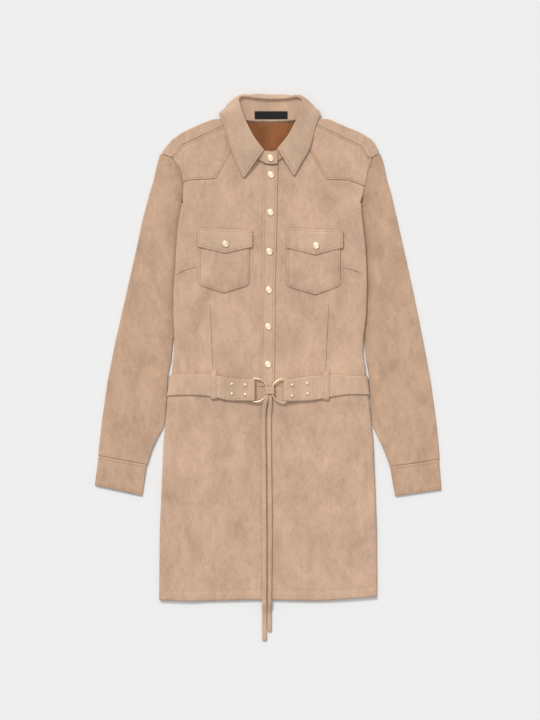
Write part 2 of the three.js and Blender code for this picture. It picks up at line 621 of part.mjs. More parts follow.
// A belt end: the folded-back end below, the turn round the ring's bar, and the belt above it
const ringBar = { left: -25.5, right: 31 }
const foldBack = 48
const endLevel = (side) => Math.max(...[0, 10, 20].flatMap((far) => [-94, -84, -74, -64, -53].map((y) => (
  beltOver(ringBar[sideName(side)] + side * far, y)))))
const endOver = (side, far, lift) => acrossBelt(ringBar[sideName(side)] + side * far, (x, y) => point(x, y,
  mix(endLevel(side), beltOver(x, y), smooth((far - 12) / 30)) + lift))
function beltEnd(side) {
  const bar = ringBar[sideName(side)]
  const below = [foldBack, 34, 22, 10, 0].map((far) => endOver(side, far, 0))
  const turn = [150, 120, 90, 60, 30].map((degrees) => {
    const angle = (degrees * Math.PI) / 180
    return endOver(side, 0, barRoll * (1 + Math.cos(angle)))
      .map((p) => p.setX(bar - side * barRoll * Math.sin(angle)))
  })
  const above = [0, 9, 18, 28, 39, 50].map((far) => endOver(side, far, mix(2 * barRoll, beltThick + 0.5, smooth(far / 28))))
  return [...below, ...turn, ...above]
}

// Round the body's side fold, from the front of the belt to its back
function beltSide(side) {
  return [0, 30, 60, 90, 120, 150, 180].map((degrees) => {
    const angle = (degrees * Math.PI) / 180
    return acrossBelt(side * 168, (_, y) => {
      const start = rollStart(side, y)
      const centre = beneath(side * start, y) + floor + frontRoll
      const radius = frontRoll + cloth / 2 + seam + beltThick / 2
      return point(side * (start + (radius + 0.3) * Math.sin(angle)), y,
        Math.max(centre + radius * Math.cos(angle) + 0.3 * (1 + Math.cos(angle)), beltThick / 2))
    })
  })
}
const beltFront = [74, 86, 98, 110, 124, 138, 150]
const beltBack = [-130, -65, 0, 65, 130].map((x) => steps(3).map((v) => point(x, mix(-84, -50.5, v), beltThick / 2)))
const beltHalf = (side) => [...beltEnd(side), ...beltFront.map((x) => flatOver(side * (x + (side > 0 ? 14 : 9)))),
  ...beltSide(side)]
piece('belt', wall([...beltHalf(-1), ...beltBack, ...beltHalf(1).reverse()], beltThick))

// Belt loops, over the belt and down to the bodice and skirt on each side of it
const loops = table('side middle top foot', [[-1, -94.3, -38, -89.5], [1, 101.5, -39, -91.5]])
for (const row of loops) {
  const beltTop = (x, y) => beltOver(x, y) + beltThick / 2 + seam + cloth / 2 + 0.3
  const low = (x, y) => clearHeight(x, y) + pitch + 0.2
  const rows = [0, 0.06, 0.13, 0.4, 0.7, 0.86, 0.93, 1].map((v) => [-5, 0, 5].map((across) => {
    const x = row.middle + across
    const y = mix(row.foot, row.top, v)
    const bottomEdge = read(beltLine, 'x', 'foot', x)
    const topEdge = read(beltLine, 'x', 'top', x)
    const over = y > bottomEdge - 3.6 && y < topEdge + 1.6
    return point(x, y, over ? beltTop(x, y) : Math.min(low(x, y) + (v < 0.1 || v > 0.9 ? 0 : 2), beltTop(x, y)))
  }))
  piece(`belt_loop_${sideName(row.side)}`, wall(rows))
}

// Turned profile on the local normal of a surface
const flatDisc = (profile) => new THREE.LatheGeometry(profile.map(([r, z]) => new THREE.Vector2(r, z)), 12)
  .rotateX(Math.PI / 2)
function seat(name, geometry, x, y, height, lift, material) {
  const step = 4
  const slopeX = (height(x + step, y) - height(x - step, y)) / (2 * step)
  const slopeY = (height(x, y + step) - height(x, y - step)) / (2 * step)
  const normal = point(-slopeX, -slopeY, 1).normalize()
  const mesh = piece(name, geometry, material)
  mesh.quaternion.setFromUnitVectors(point(0, 0, 1), normal)
  mesh.position.copy(point(x, y, height(x, y)).addScaledVector(normal, lift))
}

// Press snaps: a dished cap with a raised ring
const snapHeight = 2
const snapProfile = [[0, 0], [snapRadius, 0], [snapRadius, 1.2], [snapRadius - 1.2, snapHeight], [snapRadius - 2.6, 1.1],
  [0, 1.1]]
const snaps = table('x y', [
  [4.6, 332], [5.3, 303], [4.4, 237.5], [2.6, 169], [1.6, 102], [0.7, 38], [0.2, -28],
])
const standFront = (x, y) => mix(collar[1].seamZ, collar[1].foldZ, (y - collar[1].seamY) / (collar[1].foldY - collar[1].seamY))
snaps.forEach(({ x, y }, k) => {
  const under = k === 0 ? standFront : placketHeight
  seat(`snap_${k + 1}`, flatDisc(snapProfile), x, y, under, cloth / 2 + seam + 0.15, gold)
})
for (const row of flaps) {
  const under = (x, y) => clearHeight(x, y) + 2 * pitch + 0.7
  seat(`snap_flap_${sideName(row.side)}`, flatDisc(snapProfile), row.tipX + 1, row.tip + 16, under,
    cloth / 2 + seam + 0.45, gold)
}

// Domed studs on the belt's ends
const studProfile = [[0, 0], [3, 0], [2.8, 0.8], [2, 1.6], [0, 2]]
const studs = table('x y', [
  [-62.5, -62.8], [-39.4, -64.1], [-62.5, -79.5], [-39.7, -80.9], [42.5, -64.1], [68.3, -61.6], [42.5, -83.1], [69.5, -79.5],
])
const beltLift = (far) => mix(2 * barRoll, beltThick + 0.5, smooth(far / 28))
studs.forEach(({ x, y }, k) => {
  const side = Math.sign(x)
  const far = (a) => side * (a - ringBar[sideName(side)])
  const under = (a, b) => mix(endLevel(side), beltOver(a, b), smooth((far(a) - 12) / 30)) + beltLift(far(a))
  seat(`stud_${k + 1}`, new THREE.LatheGeometry(studProfile.map(([r, z]) => new THREE.Vector2(r, z)), 8).rotateX(Math.PI / 2),
    x, y, under, beltThick / 2 + seam + 0.35, gold)
})

// Rings of the belt: a straight bar inside the belt's turned end and a half round that leans up to the tie
class RingLine extends THREE.Curve {
  constructor(bar, side, y, low, high) {
    super()
    Object.assign(this, { bar, side, y, low, high })
  }

  getPoint(t) {
    const straight = 0.38
    if (t < straight) return point(this.bar, this.y + ringRadius * (2 * t / straight - 1), this.low)
    const angle = Math.PI * ((t - straight) / (1 - straight))
    const far = 3.8 * Math.min(1, 4 * Math.sin(angle)) + ringRadius * Math.sin(angle)
    return point(this.bar - this.side * far, this.y + ringRadius * Math.cos(angle),
      mix(this.low, this.high, far / (ringRadius + 3.8)))
  }
}
const tiePlace = { x: 3, top: -66, foot: -80, thick: 2 }
const wireTie = wire + seam + tiePlace.thick / 2
const ringHigh = placketHeight(3, -70) + cloth / 2 + seam + tiePlace.thick / 2 + wireTie + 0.4
const rings = table('side y', [[-1, -73], [1, -74]])
for (const row of rings) {
  const bar = ringBar[sideName(row.side)]
  const low = endLevel(row.side) + barRoll
  const path = new RingLine(bar, row.side, row.y, low, ringHigh)
  const centre = steps(28).slice(0, 28).map((t) => path.getPoint(t))
  const loop = centre.map((p, k) => {
    const along = centre[(k + 1) % 28].clone().sub(centre[(k + 27) % 28]).normalize()
    const out = along.clone().cross(point(0, 0, 1)).normalize()
    const up = out.clone().cross(along).normalize()
    return steps(6).slice(0, 6).map((t) => p.clone()
      .addScaledVector(out, wire * Math.cos(2 * Math.PI * t)).addScaledVector(up, wire * Math.sin(2 * Math.PI * t)))
  })
  piece(`ring_${sideName(row.side)}`, torus(loop), gold)
}

// Closed surface of rings of points that run round in both directions
function torus(rings) {
  const [n, m] = [rings.length, rings[0].length]
  const geometry = new THREE.BufferGeometry()
  geometry.setAttribute('position', new THREE.Float32BufferAttribute(rings.flat().flatMap((p) => p.toArray()), 3))
  const index = []
  for (let i = 0; i < n; i++) {
    for (let j = 0; j < m; j++) {
      const [a, b] = [i * m + j, i * m + ((j + 1) % m)]
      const [c, d] = [((i + 1) % n) * m + j, ((i + 1) % n) * m + ((j + 1) % m)]
      index.push(a, b, d, a, d, c)
    }
  }
  geometry.setIndex(outward(geometry, index))
  geometry.computeVertexNormals()
  return geometry
}

// Tie loop round both rings, and its two flat strands over the skirt to their cut ends on the surface
const tieHalf = 5.6
const loopTurns = steps(16).slice(0, 16).map((t) => {
  const angle = 2 * Math.PI * t
  const [c, s] = [Math.cos(angle), Math.sin(angle)]
  const corner = (radius) => [tiePlace.x + Math.sign(c) * (Math.abs(c) < 0.01 ? 0 : tieHalf) + radius * c, ringHigh + radius * s]
  const [inX, inZ] = corner(wireTie - tiePlace.thick / 2)
  const [outX, outZ] = corner(wireTie + tiePlace.thick / 2)
  return [
    point(inX, tiePlace.foot, inZ), point(outX, tiePlace.foot, outZ),
    point(outX, tiePlace.top, outZ), point(inX, tiePlace.top, inZ),
  ]
})
piece('tie_loop', torus(loopTurns))

const leftStrand = table('x y wide', [
  [0.8, -81, 3.2], [-1.6, -88, 5.6], [-4.8, -96, 8], [-7, -108, 8], [-8, -125, 8], [-7.6, -165, 8], [-7, -205, 8],
  [-6.6, -250, 8], [-6.2, -300, 8], [-6, -350, 8], [-6, -400, 8], [-6, -430, 8], [-6, -446, 8], [-6, -458, 8],
  [-6, -475, 8], [-6, -510.5, 8],
])
const rightStrand = table('x y wide', [
  [4.4, -81, 3.5], [4.6, -88, 6], [4.2, -96, 7], [3.4, -108, 7], [2.4, -125, 7], [2.6, -165, 7], [3, -205, 7],
  [3.6, -250, 7], [4, -300, 7], [3.8, -350, 7], [3.4, -400, 7], [3.2, -430, 7], [3, -446, 7], [3, -458, 7],
  [3, -475, 7], [3, -494.7, 7],
])
const strandThick = 3.6
const strands = [{ name: 'tie_left', rows: leftStrand }, { name: 'tie_right', rows: rightStrand }]
const strandZ = (x, y) => {
  const lying = clearHeight(x, Math.max(y, -438)) + cloth / 2 + seam + strandThick / 2 + 0.3
  const fromLoop = mix(lying, ringHigh - 0.6, smooth((y + 104) / 22))
  const drop = smooth((-442 - y) / 22)
  return y < -442 ? mix(lying, strandThick / 2 + 0.02, drop) : Math.max(lying, fromLoop)
}
for (const strand of strands) {
  const line = strand.rows.map(({ x, y }) => point(x, y, strandZ(x, y)))
  const section = steps(8).slice(0, 8).map((t) => 2 * Math.PI * (t + 1 / 16))
  const hoops = line.map((p, k) => {
    const along = line[Math.min(k + 1, line.length - 1)].clone().sub(line[Math.max(k - 1, 0)]).normalize()
    const out = along.clone().cross(point(0, 0, 1)).normalize()
    const up = out.clone().cross(along).normalize()
    return section.map((angle) => p.clone().addScaledVector(out, (strand.rows[k].wide / 2) * Math.cos(angle))
      .addScaledVector(up, (strandThick / 2) * Math.sin(angle)))
  })
  piece(strand.name, rod(hoops))
}

// Solid of hoops of points, closed by a fan at each end
function rod(hoops) {
  const m = hoops[0].length
  const places = hoops.flat()
  const index = []
  for (let i = 0; i < hoops.length - 1; i++) {
    for (let j = 0; j < m; j++) {
      const [a, b] = [i * m + j, i * m + ((j + 1) % m)]
      index.push(a, b, b + m, a, b + m, a + m)
    }
  }
  const last = (hoops.length - 1) * m
  for (let j = 1; j < m - 1; j++) index.push(0, j + 1, j, last, last + j, last + j + 1)
  const geometry = new THREE.BufferGeometry()
  geometry.setAttribute('position', new THREE.Float32BufferAttribute(places.flatMap((p) => p.toArray()), 3))
  geometry.setIndex(outward(geometry, index))
  geometry.computeVertexNormals()
  return geometry
}

// The origin is under the middle of the dress without its tie strands
const extent = new THREE.Box3()
dress.updateMatrixWorld(true)
for (const mesh of dress.children) {
  if (!mesh.name.startsWith('tie_')) extent.expandByObject(mesh, true)
}
const middle = extent.getCenter(point(0, 0, 0))
dress.position.set(-middle.x, -middle.y, 0)

export default dress
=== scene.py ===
import bpy
import json
import math
import numpy as np
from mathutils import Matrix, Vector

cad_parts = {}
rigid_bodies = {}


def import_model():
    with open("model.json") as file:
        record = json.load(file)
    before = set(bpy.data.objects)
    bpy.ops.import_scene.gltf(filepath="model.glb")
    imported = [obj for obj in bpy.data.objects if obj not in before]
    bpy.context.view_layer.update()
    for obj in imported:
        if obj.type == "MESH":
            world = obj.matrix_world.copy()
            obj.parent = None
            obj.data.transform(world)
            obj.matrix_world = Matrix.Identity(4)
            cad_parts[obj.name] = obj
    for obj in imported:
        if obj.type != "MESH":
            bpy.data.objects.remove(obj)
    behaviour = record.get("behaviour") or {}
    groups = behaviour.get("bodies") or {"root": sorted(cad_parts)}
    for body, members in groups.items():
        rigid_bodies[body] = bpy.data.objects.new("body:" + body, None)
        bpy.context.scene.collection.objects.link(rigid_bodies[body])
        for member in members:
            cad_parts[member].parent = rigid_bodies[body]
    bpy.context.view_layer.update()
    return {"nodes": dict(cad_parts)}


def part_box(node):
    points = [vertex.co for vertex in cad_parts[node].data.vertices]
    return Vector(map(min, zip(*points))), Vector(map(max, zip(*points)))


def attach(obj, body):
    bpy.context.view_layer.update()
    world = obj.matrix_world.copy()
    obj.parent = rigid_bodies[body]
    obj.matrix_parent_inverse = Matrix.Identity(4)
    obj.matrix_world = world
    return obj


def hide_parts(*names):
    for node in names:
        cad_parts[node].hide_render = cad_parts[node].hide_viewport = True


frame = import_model()
print("frame loaded,", len(frame["nodes"]), "nodes")

# The plan is in millimetres, x to the right and y towards the collar as the dress is seen from above.
# shift brings the plan to the frame's own middle, and it is read off the neck label's place.
labelPlan = dict(x=5.6, y=407.0, wide=57.0, high=13.0, thick=0.8)
labelLow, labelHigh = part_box("neck_label")
shift = np.array([(labelLow[0] + labelHigh[0]) * 500 - labelPlan["x"],
                  (labelLow[1] + labelHigh[1]) * 500 - labelPlan["y"], 0.0])

# Plain maths on whole arrays


def line(rows, soften=0.0):
    # second column over the first, straight between the rows, averaged over +-soften
    data = np.array(sorted(rows), float)
    weights = ((-1.0, 0.125), (-0.5, 0.25), (0.0, 0.25), (0.5, 0.25), (1.0, 0.125))
    return lambda v: sum(w * np.interp(np.asarray(v, float) + soften * o, data[:, 0], data[:, 1])
                         for o, w in weights)


def edgePair(rows, soften):
    # the curves of a table's second and third columns over its first
    return line([r[:2] for r in rows], soften), line([(r[0], r[2]) for r in rows], soften)


def smooth(v):
    # 3 t^2 - 2 t^3 of t held between 0 and 1
    t = np.clip(v, 0.0, 1.0)
    return t * t * (3 - 2 * t)


def fade(v, start, end):
    # 0 before start, 1 past end, smooth between
    return smooth((v - start) / (end - start))


def mix(a, b, t):
    return a + (b - a) * t


def bell(v):
    return np.exp(-v * v)


def unit(v):
    return v / np.maximum(np.linalg.norm(v, axis=-1, keepdims=True), 1e-9)


def curveThrough(points, count):
    # Catmull-Rom curve through the rows of points, count places evenly spaced in row number
    p = np.asarray(points, float)
    p = np.concatenate([[2 * p[0] - p[1]], p, [2 * p[-1] - p[-2]]])
    t = np.linspace(0, len(p) - 3, count)
    k = np.minimum(t.astype(int), len(p) - 4)
    f = (t - k).reshape((-1,) + (1,) * (p.ndim - 1))
    a, b, c, d = p[k], p[k + 1], p[k + 2], p[k + 3]
    return 0.5 * (2 * b + (c - a) * f + (2 * a - 5 * b + 4 * c - d) * f ** 2
                  + (3 * b - a - 3 * c + d) * f ** 3)


def walk(points, count):
    # count places at even lengths along the straight runs between the corner points
    p = np.asarray(points, float)
    lengths = np.concatenate([[0], np.cumsum(np.linalg.norm(np.diff(p, axis=0), axis=1))])
    at = np.linspace(0, lengths[-1], count)
    return np.stack([np.interp(at, lengths, p[:, k]) for k in range(p.shape[1])], axis=-1)


def slopes(grid):
    # differences along the rows and across the columns, centred inside and one-sided at the rims
    along = np.empty_like(grid)
    along[1:-1] = grid[2:] - grid[:-2]
    along[0], along[-1] = grid[1] - grid[0], grid[-1] - grid[-2]
    across = np.empty_like(grid)
    across[:, 1:-1] = grid[:, 2:] - grid[:, :-2]
    across[:, 0], across[:, -1] = grid[:, 1] - grid[:, 0], grid[:, -1] - grid[:, -2]
    return unit(along), unit(across)


def lengthsFrom(grid, axis, backwards=False):
    # way covered along the rows (axis 0) or columns (axis 1) from one rim
    g = np.flip(grid, axis) if backwards else grid
    way = np.cumsum(np.linalg.norm(np.diff(g, axis=axis), axis=2), axis=axis)
    way = np.concatenate([np.zeros_like(way.take([0], axis)), way], axis)
    return np.flip(way, axis) if backwards else way


# Meshes


def toObject(name, points, faces, materials, kinds=None, uv=None, shade=None):
    # points in plan millimetres, faces a list of arrays with 3 or 4 corners each
    mesh = bpy.data.meshes.new(name)
    corners = np.concatenate([f.ravel() for f in faces]).astype(np.int32)
    sizes = np.concatenate([np.full(len(f), f.shape[1]) for f in faces])
    starts = np.concatenate([[0], np.cumsum(sizes)[:-1]]).astype(np.int32)
    mesh.vertices.add(len(points))
    mesh.vertices.foreach_set("co", ((points + shift) * 0.001).astype(np.float32).ravel())
    mesh.loops.add(len(corners))
    mesh.loops.foreach_set("vertex_index", corners)
    mesh.polygons.add(len(sizes))
    mesh.polygons.foreach_set("loop_start", starts)
    for material in materials:
        mesh.materials.append(material)
    if kinds is not None:
        mesh.polygons.foreach_set("material_index", kinds.astype(np.int32))
    if uv is not None:
        layer = mesh.uv_layers.new(name="cloth")
        layer.data.foreach_set("uv", uv[corners].astype(np.float32).ravel())
    # the tone attribute carries painted shade for the suede, 1 where none is painted
    tone = mesh.attributes.new("tone", "FLOAT", "POINT")
    values = np.ones(len(points)) if shade is None else shade
    tone.data.foreach_set("value", values.astype(np.float32))
    mesh.update(calc_edges=True)
    mesh.polygons.foreach_set("use_smooth", np.ones(len(sizes), dtype=bool))
    obj = bpy.data.objects.new(name, mesh)
    bpy.context.scene.collection.objects.link(obj)
    return obj


def settle(obj, node=None):
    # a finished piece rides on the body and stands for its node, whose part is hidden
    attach(obj, "root")
    if node:
        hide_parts(node)
    return obj


def shell(name, grid, thick, outside, inside=None, tone=None, rimKind=0, rim=0.35):
    # Closed wall: faces at p +- n thick / 2 for the middle surface p with unit normal n, and round the
    # border a row pushed out by rim * thick, which rounds the edge.
    rows, cols = grid.shape[:2]
    along, across = slopes(grid)
    normal = unit(np.cross(across, along))
    tone = np.ones((rows, cols)) if tone is None else tone
    i = np.concatenate([np.zeros(cols), np.arange(1, rows), np.full(cols - 1, rows - 1),
                        np.arange(rows - 2, 0, -1)]).astype(int)
    j = np.concatenate([np.arange(cols), np.full(rows - 1, cols - 1), np.arange(cols - 2, -1, -1),
                        np.zeros(rows - 2)]).astype(int)
    outAlong = ((i == rows - 1) * 1.0 - (i == 0))[:, None] * along[i, j]
    outAcross = ((j == cols - 1) * 1.0 - (j == 0))[:, None] * across[i, j]
    out = outAlong + outAcross
    middle = grid[i, j] + unit(out) * rim * thick
    number = rows * cols
    a = (np.arange(rows - 1)[:, None] * cols + np.arange(cols - 1)).ravel()
    top = np.stack([a, a + 1, a + cols + 1, a + cols], axis=1)
    k = i * cols + j
    kNext = np.roll(k, -1)
    m = 2 * number + np.arange(len(k))
    mNext = np.roll(m, -1)
    upper = np.stack([m, mNext, kNext, k], axis=1)
    lower = np.stack([k + number, kNext + number, mNext, m], axis=1)
    points = np.concatenate([(grid + normal * thick / 2).reshape(-1, 3),
                             (grid - normal * thick / 2).reshape(-1, 3), middle])
    flat = np.stack([lengthsFrom(grid, 1), lengthsFrom(grid, 0)], axis=-1) * 0.001
    uv = np.concatenate([flat.reshape(-1, 2), flat.reshape(-1, 2), flat[i, j]])
    # painted shade: the rim row is painted 10 % darker than the faces it joins
    tones = np.concatenate([tone.ravel(), tone.ravel(), tone[i, j] * 0.9])
    kinds = np.concatenate([np.zeros(len(top)), np.ones(len(top)), np.full(2 * len(k), rimKind)])
    materials = [outside, inside or outside]
    return toObject(name, points, [top, top[:, ::-1] + number, upper, lower], materials, kinds, uv, tones)


def hoopFaces(count, around, joined):
    # quads between count hoops of around points, joined end to end where the hoops run round
    i = np.arange(count if joined else count - 1)[:, None]
    j = np.arange(around)[None, :]
    a, b = i * around + j, i * around + (j + 1) % around
    c, d = (i + 1) % count * around + j, (i + 1) % count * around + (j + 1) % around
    return np.stack([a, b, d, c], axis=-1).reshape(-1, 4)


def tube(name, path, wide, high, material, around=12, joined=False, power=1.0, tone=None):
    # oval section wide by high carried along path, closed by a flat end that is drawn in to a point
    path = np.asarray(path, float)
    if joined:
        ahead = unit(np.roll(path, -1, axis=0) - np.roll(path, 1, axis=0))
    else:
        ahead = unit(np.gradient(path, axis=0))
    out = unit(np.cross(ahead, [0.0, 0.0, 1.0]))
    up = np.cross(out, ahead)
    angle = 2 * np.pi * (np.arange(around) + 0.5) / around
    c, s = np.cos(angle), np.sin(angle)
    c, s = np.sign(c) * np.abs(c) ** power, np.sign(s) * np.abs(s) ** power
    wide = np.broadcast_to(wide, len(path))[:, None, None] / 2
    high = np.broadcast_to(high, len(path))[:, None, None] / 2
    hoops = path[:, None] + wide * c[None, :, None] * out[:, None] + high * s[None, :, None] * up[:, None]
    faces = [hoopFaces(len(path), around, joined)]
    points = hoops.reshape(-1, 3)
    if not joined:
        ends = np.stack([path[0] - ahead[0] * 0.4 * high[0, 0, 0],
                         path[-1] + ahead[-1] * 0.4 * high[-1, 0, 0]])
        n = len(points)
        j = np.arange(around)
        last = (len(path) - 1) * around
        faces.append(np.stack([np.full(around, n), (j + 1) % around, j], axis=1))
        faces.append(np.stack([np.full(around, n + 1), last + j, last + (j + 1) % around], axis=1))
        points = np.concatenate([points, ends])
    faces = [f[:, ::-1] for f in faces] if volume(points, faces) < 0 else faces
    if tone is None:  # painted shading: the upper side is painted lighter than the flanks and the under side, and the ends darker
        hoopShade = np.tile(0.74 + 0.26 * np.clip(1.6 * s, -1, 1), len(path))
        tone = np.concatenate([hoopShade, np.full(len(points) - hoopShade.size, 0.8)])
    return toObject(name, points, faces, [material], shade=tone)


def volume(points, faces):
    # signed volume, positive where the faces point outwards
    total = 0.0
    for f in faces:
        for k in range(2, f.shape[1]):
            total += np.einsum("ij,ij->", points[f[:, 0]], np.cross(points[f[:, k - 1]], points[f[:, k]]))
    return total


# Materials


def linear(*levels):
    # display levels 0 to 255 as scene values
    c = np.array(levels) / 255
    return tuple(np.where(c <= 0.04045, c / 12.92, ((c + 0.055) / 1.055) ** 2.4)) + (1.0,)


white = (1, 1, 1, 1)


def newMaterial(name):
    material = bpy.data.materials.new(name)
    material.use_nodes = True
    nodes = material.node_tree.nodes
    return material, nodes, material.node_tree.links, nodes["Principled BSDF"]


def noise(nodes, links, source, scale, detail, roughness=0.55, distortion=0.0, stretch=(1, 1, 1), turn=0.0):
    place = nodes.new("ShaderNodeMapping")
    place.inputs["Scale"].default_value = stretch
    place.inputs["Rotation"].default_value = (0, 0, turn)
    texture = nodes.new("ShaderNodeTexNoise")
    texture.inputs["Scale"].default_value = scale
    texture.inputs["Detail"].default_value = detail
    texture.inputs["Roughness"].default_value = roughness
    texture.inputs["Distortion"].default_value = distortion
    links.new(source, place.inputs["Vector"])
    links.new(place.outputs["Vector"], texture.inputs["Vector"])
    return texture.outputs["Fac"]


def blendColour(nodes, links, kind, factor, first, second):
    node = nodes.new("ShaderNodeMix")
    node.data_type = "RGBA"
    node.blend_type = kind
    for socket, value in ((node.inputs[0], factor), (node.inputs[6], first), (node.inputs[7], second)):
        if isinstance(value, bpy.types.NodeSocket):
            links.new(value, socket)
        else:
            socket.default_value = value
    return node.outputs[2]


def ramp(nodes, links, source, stops):
    node = nodes.new("ShaderNodeValToRGB")
    node.color_ramp.elements[0].position, node.color_ramp.elements[0].color = stops[0]
    node.color_ramp.elements[1].position, node.color_ramp.elements[1].color = stops[-1]
    for place, colour in stops[1:-1]:
        node.color_ramp.elements.new(place).color = colour
    links.new(source, node.inputs["Fac"])
    return node.outputs["Color"]


def arithmetic(nodes, links, kind, first, second):
    node = nodes.new("ShaderNodeMath")
    node.operation = kind
    for socket, value in ((node.inputs[0], first), (node.inputs[1], second)):
        if isinstance(value, bpy.types.NodeSocket):
            links.new(value, socket)
        else:
            socket.default_value = value
    return node.outputs[0]


def addBump(nodes, links, shader, height, strength, distance):
    bump = nodes.new("ShaderNodeBump")
    bump.inputs["Strength"].default_value = strength
    bump.inputs["Distance"].default_value = distance
    links.new(height, bump.inputs["Height"])
    links.new(bump.outputs["Normal"], shader.inputs["Normal"])


def suedeMaterial(name, base, spread=1.0, coarse=1.0):
    # Brushed nap: broad marbled marks, short strokes of the brush and a fine grain, with painted shade from
    # the tone attribute in seams, grooves and rims
    material, nodes, links, shader = newMaterial(name)
    place = nodes.new("ShaderNodeTexCoord").outputs["Object"]
    broad = noise(nodes, links, place, 17 * coarse, 5, 0.62, 0.5, (1.35, 0.8, 1))
    marks = noise(nodes, links, place, 75 * coarse, 5, 0.62, 1.1, (1.3, 0.62, 1), 0.15)
    strokes = noise(nodes, links, place, 330 * coarse, 3, 0.6, 0.6, (1.5, 0.45, 1), -0.1)
    grain = noise(nodes, links, place, 2400, 2, 0.6)
    # painted shade: the mesh's tone attribute, 1 where nothing is painted, darkens the colour towards deep
    # brown in seams, stitch grooves, rims and beside raised edges
    paintedShade = nodes.new("ShaderNodeAttribute")
    paintedShade.attribute_name = "tone"
    dark = [c * (1 - 0.075 * spread) for c in base]
    light = [c * (1 + 0.065 * spread) for c in base]
    tone = ramp(nodes, links, broad, [(0.3, linear(*dark)), (0.5, linear(*base)), (0.72, linear(*light))])
    for share, source, stops in (
            (0.38 * spread, marks, [(0.32, (0.72, 0.69, 0.66, 1)), (0.55, white), (0.74, white)]),
            (0.3 * spread, strokes, [(0.32, (0.7, 0.68, 0.66, 1)), (0.6, white)]),
            (0.22, grain, [(0.3, (0.74, 0.72, 0.7, 1)), (0.7, white)]),
            (1.0, paintedShade.outputs["Fac"], [(0.0, (0.26, 0.21, 0.18, 1)), (0.5, (0.64, 0.6, 0.57, 1)),
                                        (1.0, white)])):
        tone = blendColour(nodes, links, "MULTIPLY", share, tone, ramp(nodes, links, source, stops))
    links.new(tone, shader.inputs["Base Color"])
    shader.inputs["Roughness"].default_value = 1.0
    shader.inputs["Specular IOR Level"].default_value = 0.08
    shader.inputs["Sheen Weight"].default_value = 0.05
    shader.inputs["Sheen Tint"].default_value = (0.9, 0.62, 0.42, 1)
    shader.inputs["Sheen Roughness"].default_value = 0.5
    height = arithmetic(nodes, links, "MULTIPLY", marks, 1.4)
    height = arithmetic(nodes, links, "ADD", height, arithmetic(nodes, links, "MULTIPLY", strokes, 0.5))
    height = arithmetic(nodes, links, "ADD", height, arithmetic(nodes, links, "MULTIPLY", grain, 0.16))
    addBump(nodes, links, shader, height, 0.5, 0.0009)
    return material


def knitMaterial(name, base):
    # Wrong side of the cloth: a fine knit of ribs with a little brushed fibre
    material, nodes, links, shader = newMaterial(name)
    place = nodes.new("ShaderNodeTexCoord").outputs["Object"]
    broad = noise(nodes, links, place, 22, 4, 0.6, 0.6)
    fine = noise(nodes, links, place, 1500, 2, 0.6)
    rib = nodes.new("ShaderNodeTexWave")
    rib.inputs["Scale"].default_value = 260
    rib.inputs["Distortion"].default_value = 1.2
    links.new(place, rib.inputs["Vector"])
    dark, light = [c * 0.88 for c in base], [c * 1.1 for c in base]
    tone = ramp(nodes, links, broad, [(0.3, linear(*dark)), (0.7, linear(*light))])
    for share, source, stops in ((0.6, rib.outputs["Fac"], [(0.0, (0.84, 0.82, 0.8, 1)), (1.0, white)]),
                                 (0.4, fine, [(0.3, (0.75, 0.73, 0.7, 1)), (0.7, white)])):
        tone = blendColour(nodes, links, "MULTIPLY", share, tone, ramp(nodes, links, source, stops))
    links.new(tone, shader.inputs["Base Color"])
    shader.inputs["Roughness"].default_value = 0.95
    shader.inputs["Specular IOR Level"].default_value = 0.15
    height = arithmetic(nodes, links, "ADD", rib.outputs["Fac"], fine)
    addBump(nodes, links, shader, height, 0.35, 0.0003)
    return material


def metalMaterial(name, base):
    # Pale gold, softly polished, with faint rubbing marks
    material, nodes, links, shader = newMaterial(name)
    place = nodes.new("ShaderNodeTexCoord").outputs["Object"]
    rub = noise(nodes, links, place, 900, 4, 0.6, 0.3, (1, 0.25, 1), 0.6)
    cloud = noise(nodes, links, place, 120, 3)
    tone = ramp(nodes, links, cloud, [(0.3, linear(*[c * 0.95 for c in base])), (0.7, linear(*base))])
    links.new(tone, shader.inputs["Base Color"])
    shader.inputs["Metallic"].default_value = 1.0
    rough = nodes.new("ShaderNodeMapRange")
    rough.inputs["To Min"].default_value = 0.4
    rough.inputs["To Max"].default_value = 0.48
    links.new(rub, rough.inputs["Value"])
    links.new(rough.outputs["Result"], shader.inputs["Roughness"])
    addBump(nodes, links, shader, rub, 0.005, 0.00002)
    return material


def satinMaterial(name, base):
    # Woven satin ribbon: close crosswise floats
    material, nodes, links, shader = newMaterial(name)
    place = nodes.new("ShaderNodeTexCoord").outputs["Object"]
    weave = nodes.new("ShaderNodeTexWave")
    weave.bands_direction = "Y"
    weave.inputs["Scale"].default_value = 900
    weave.inputs["Distortion"].default_value = 0.6
    links.new(place, weave.inputs["Vector"])
    fine = noise(nodes, links, place, 1800, 2)
    dark, light = [c * 0.8 for c in base], [c * 1.2 for c in base]
    tone = ramp(nodes, links, fine, [(0.3, linear(*dark)), (0.7, linear(*light))])
    links.new(tone, shader.inputs["Base Color"])
    shader.inputs["Roughness"].default_value = 0.75
    shader.inputs["Specular IOR Level"].default_value = 0.2
    addBump(nodes, links, shader, weave.outputs["Fac"], 0.3, 0.0001)
    return material


suede = suedeMaterial("brushed suede", (208, 175, 150))
suedeSleeve = suedeMaterial("brushed suede, sleeves", (202, 169, 143))
suedeBand = suedeMaterial("brushed suede, placket and belt", (210, 179, 154), 0.8)
suedeDeep = suedeMaterial("brushed suede, stand lining", (212, 179, 153), 0.8)
knit = knitMaterial("wrong side knit", (151, 98, 62))
goldMetal = metalMaterial("pale gold", (250, 226, 194))
blackSatin = satinMaterial("black satin", (33, 33, 31))
thread = suedeMaterial("thread", (196, 160, 132), 0.6, 3.0)
print("materials made")

# Camera, floor and light

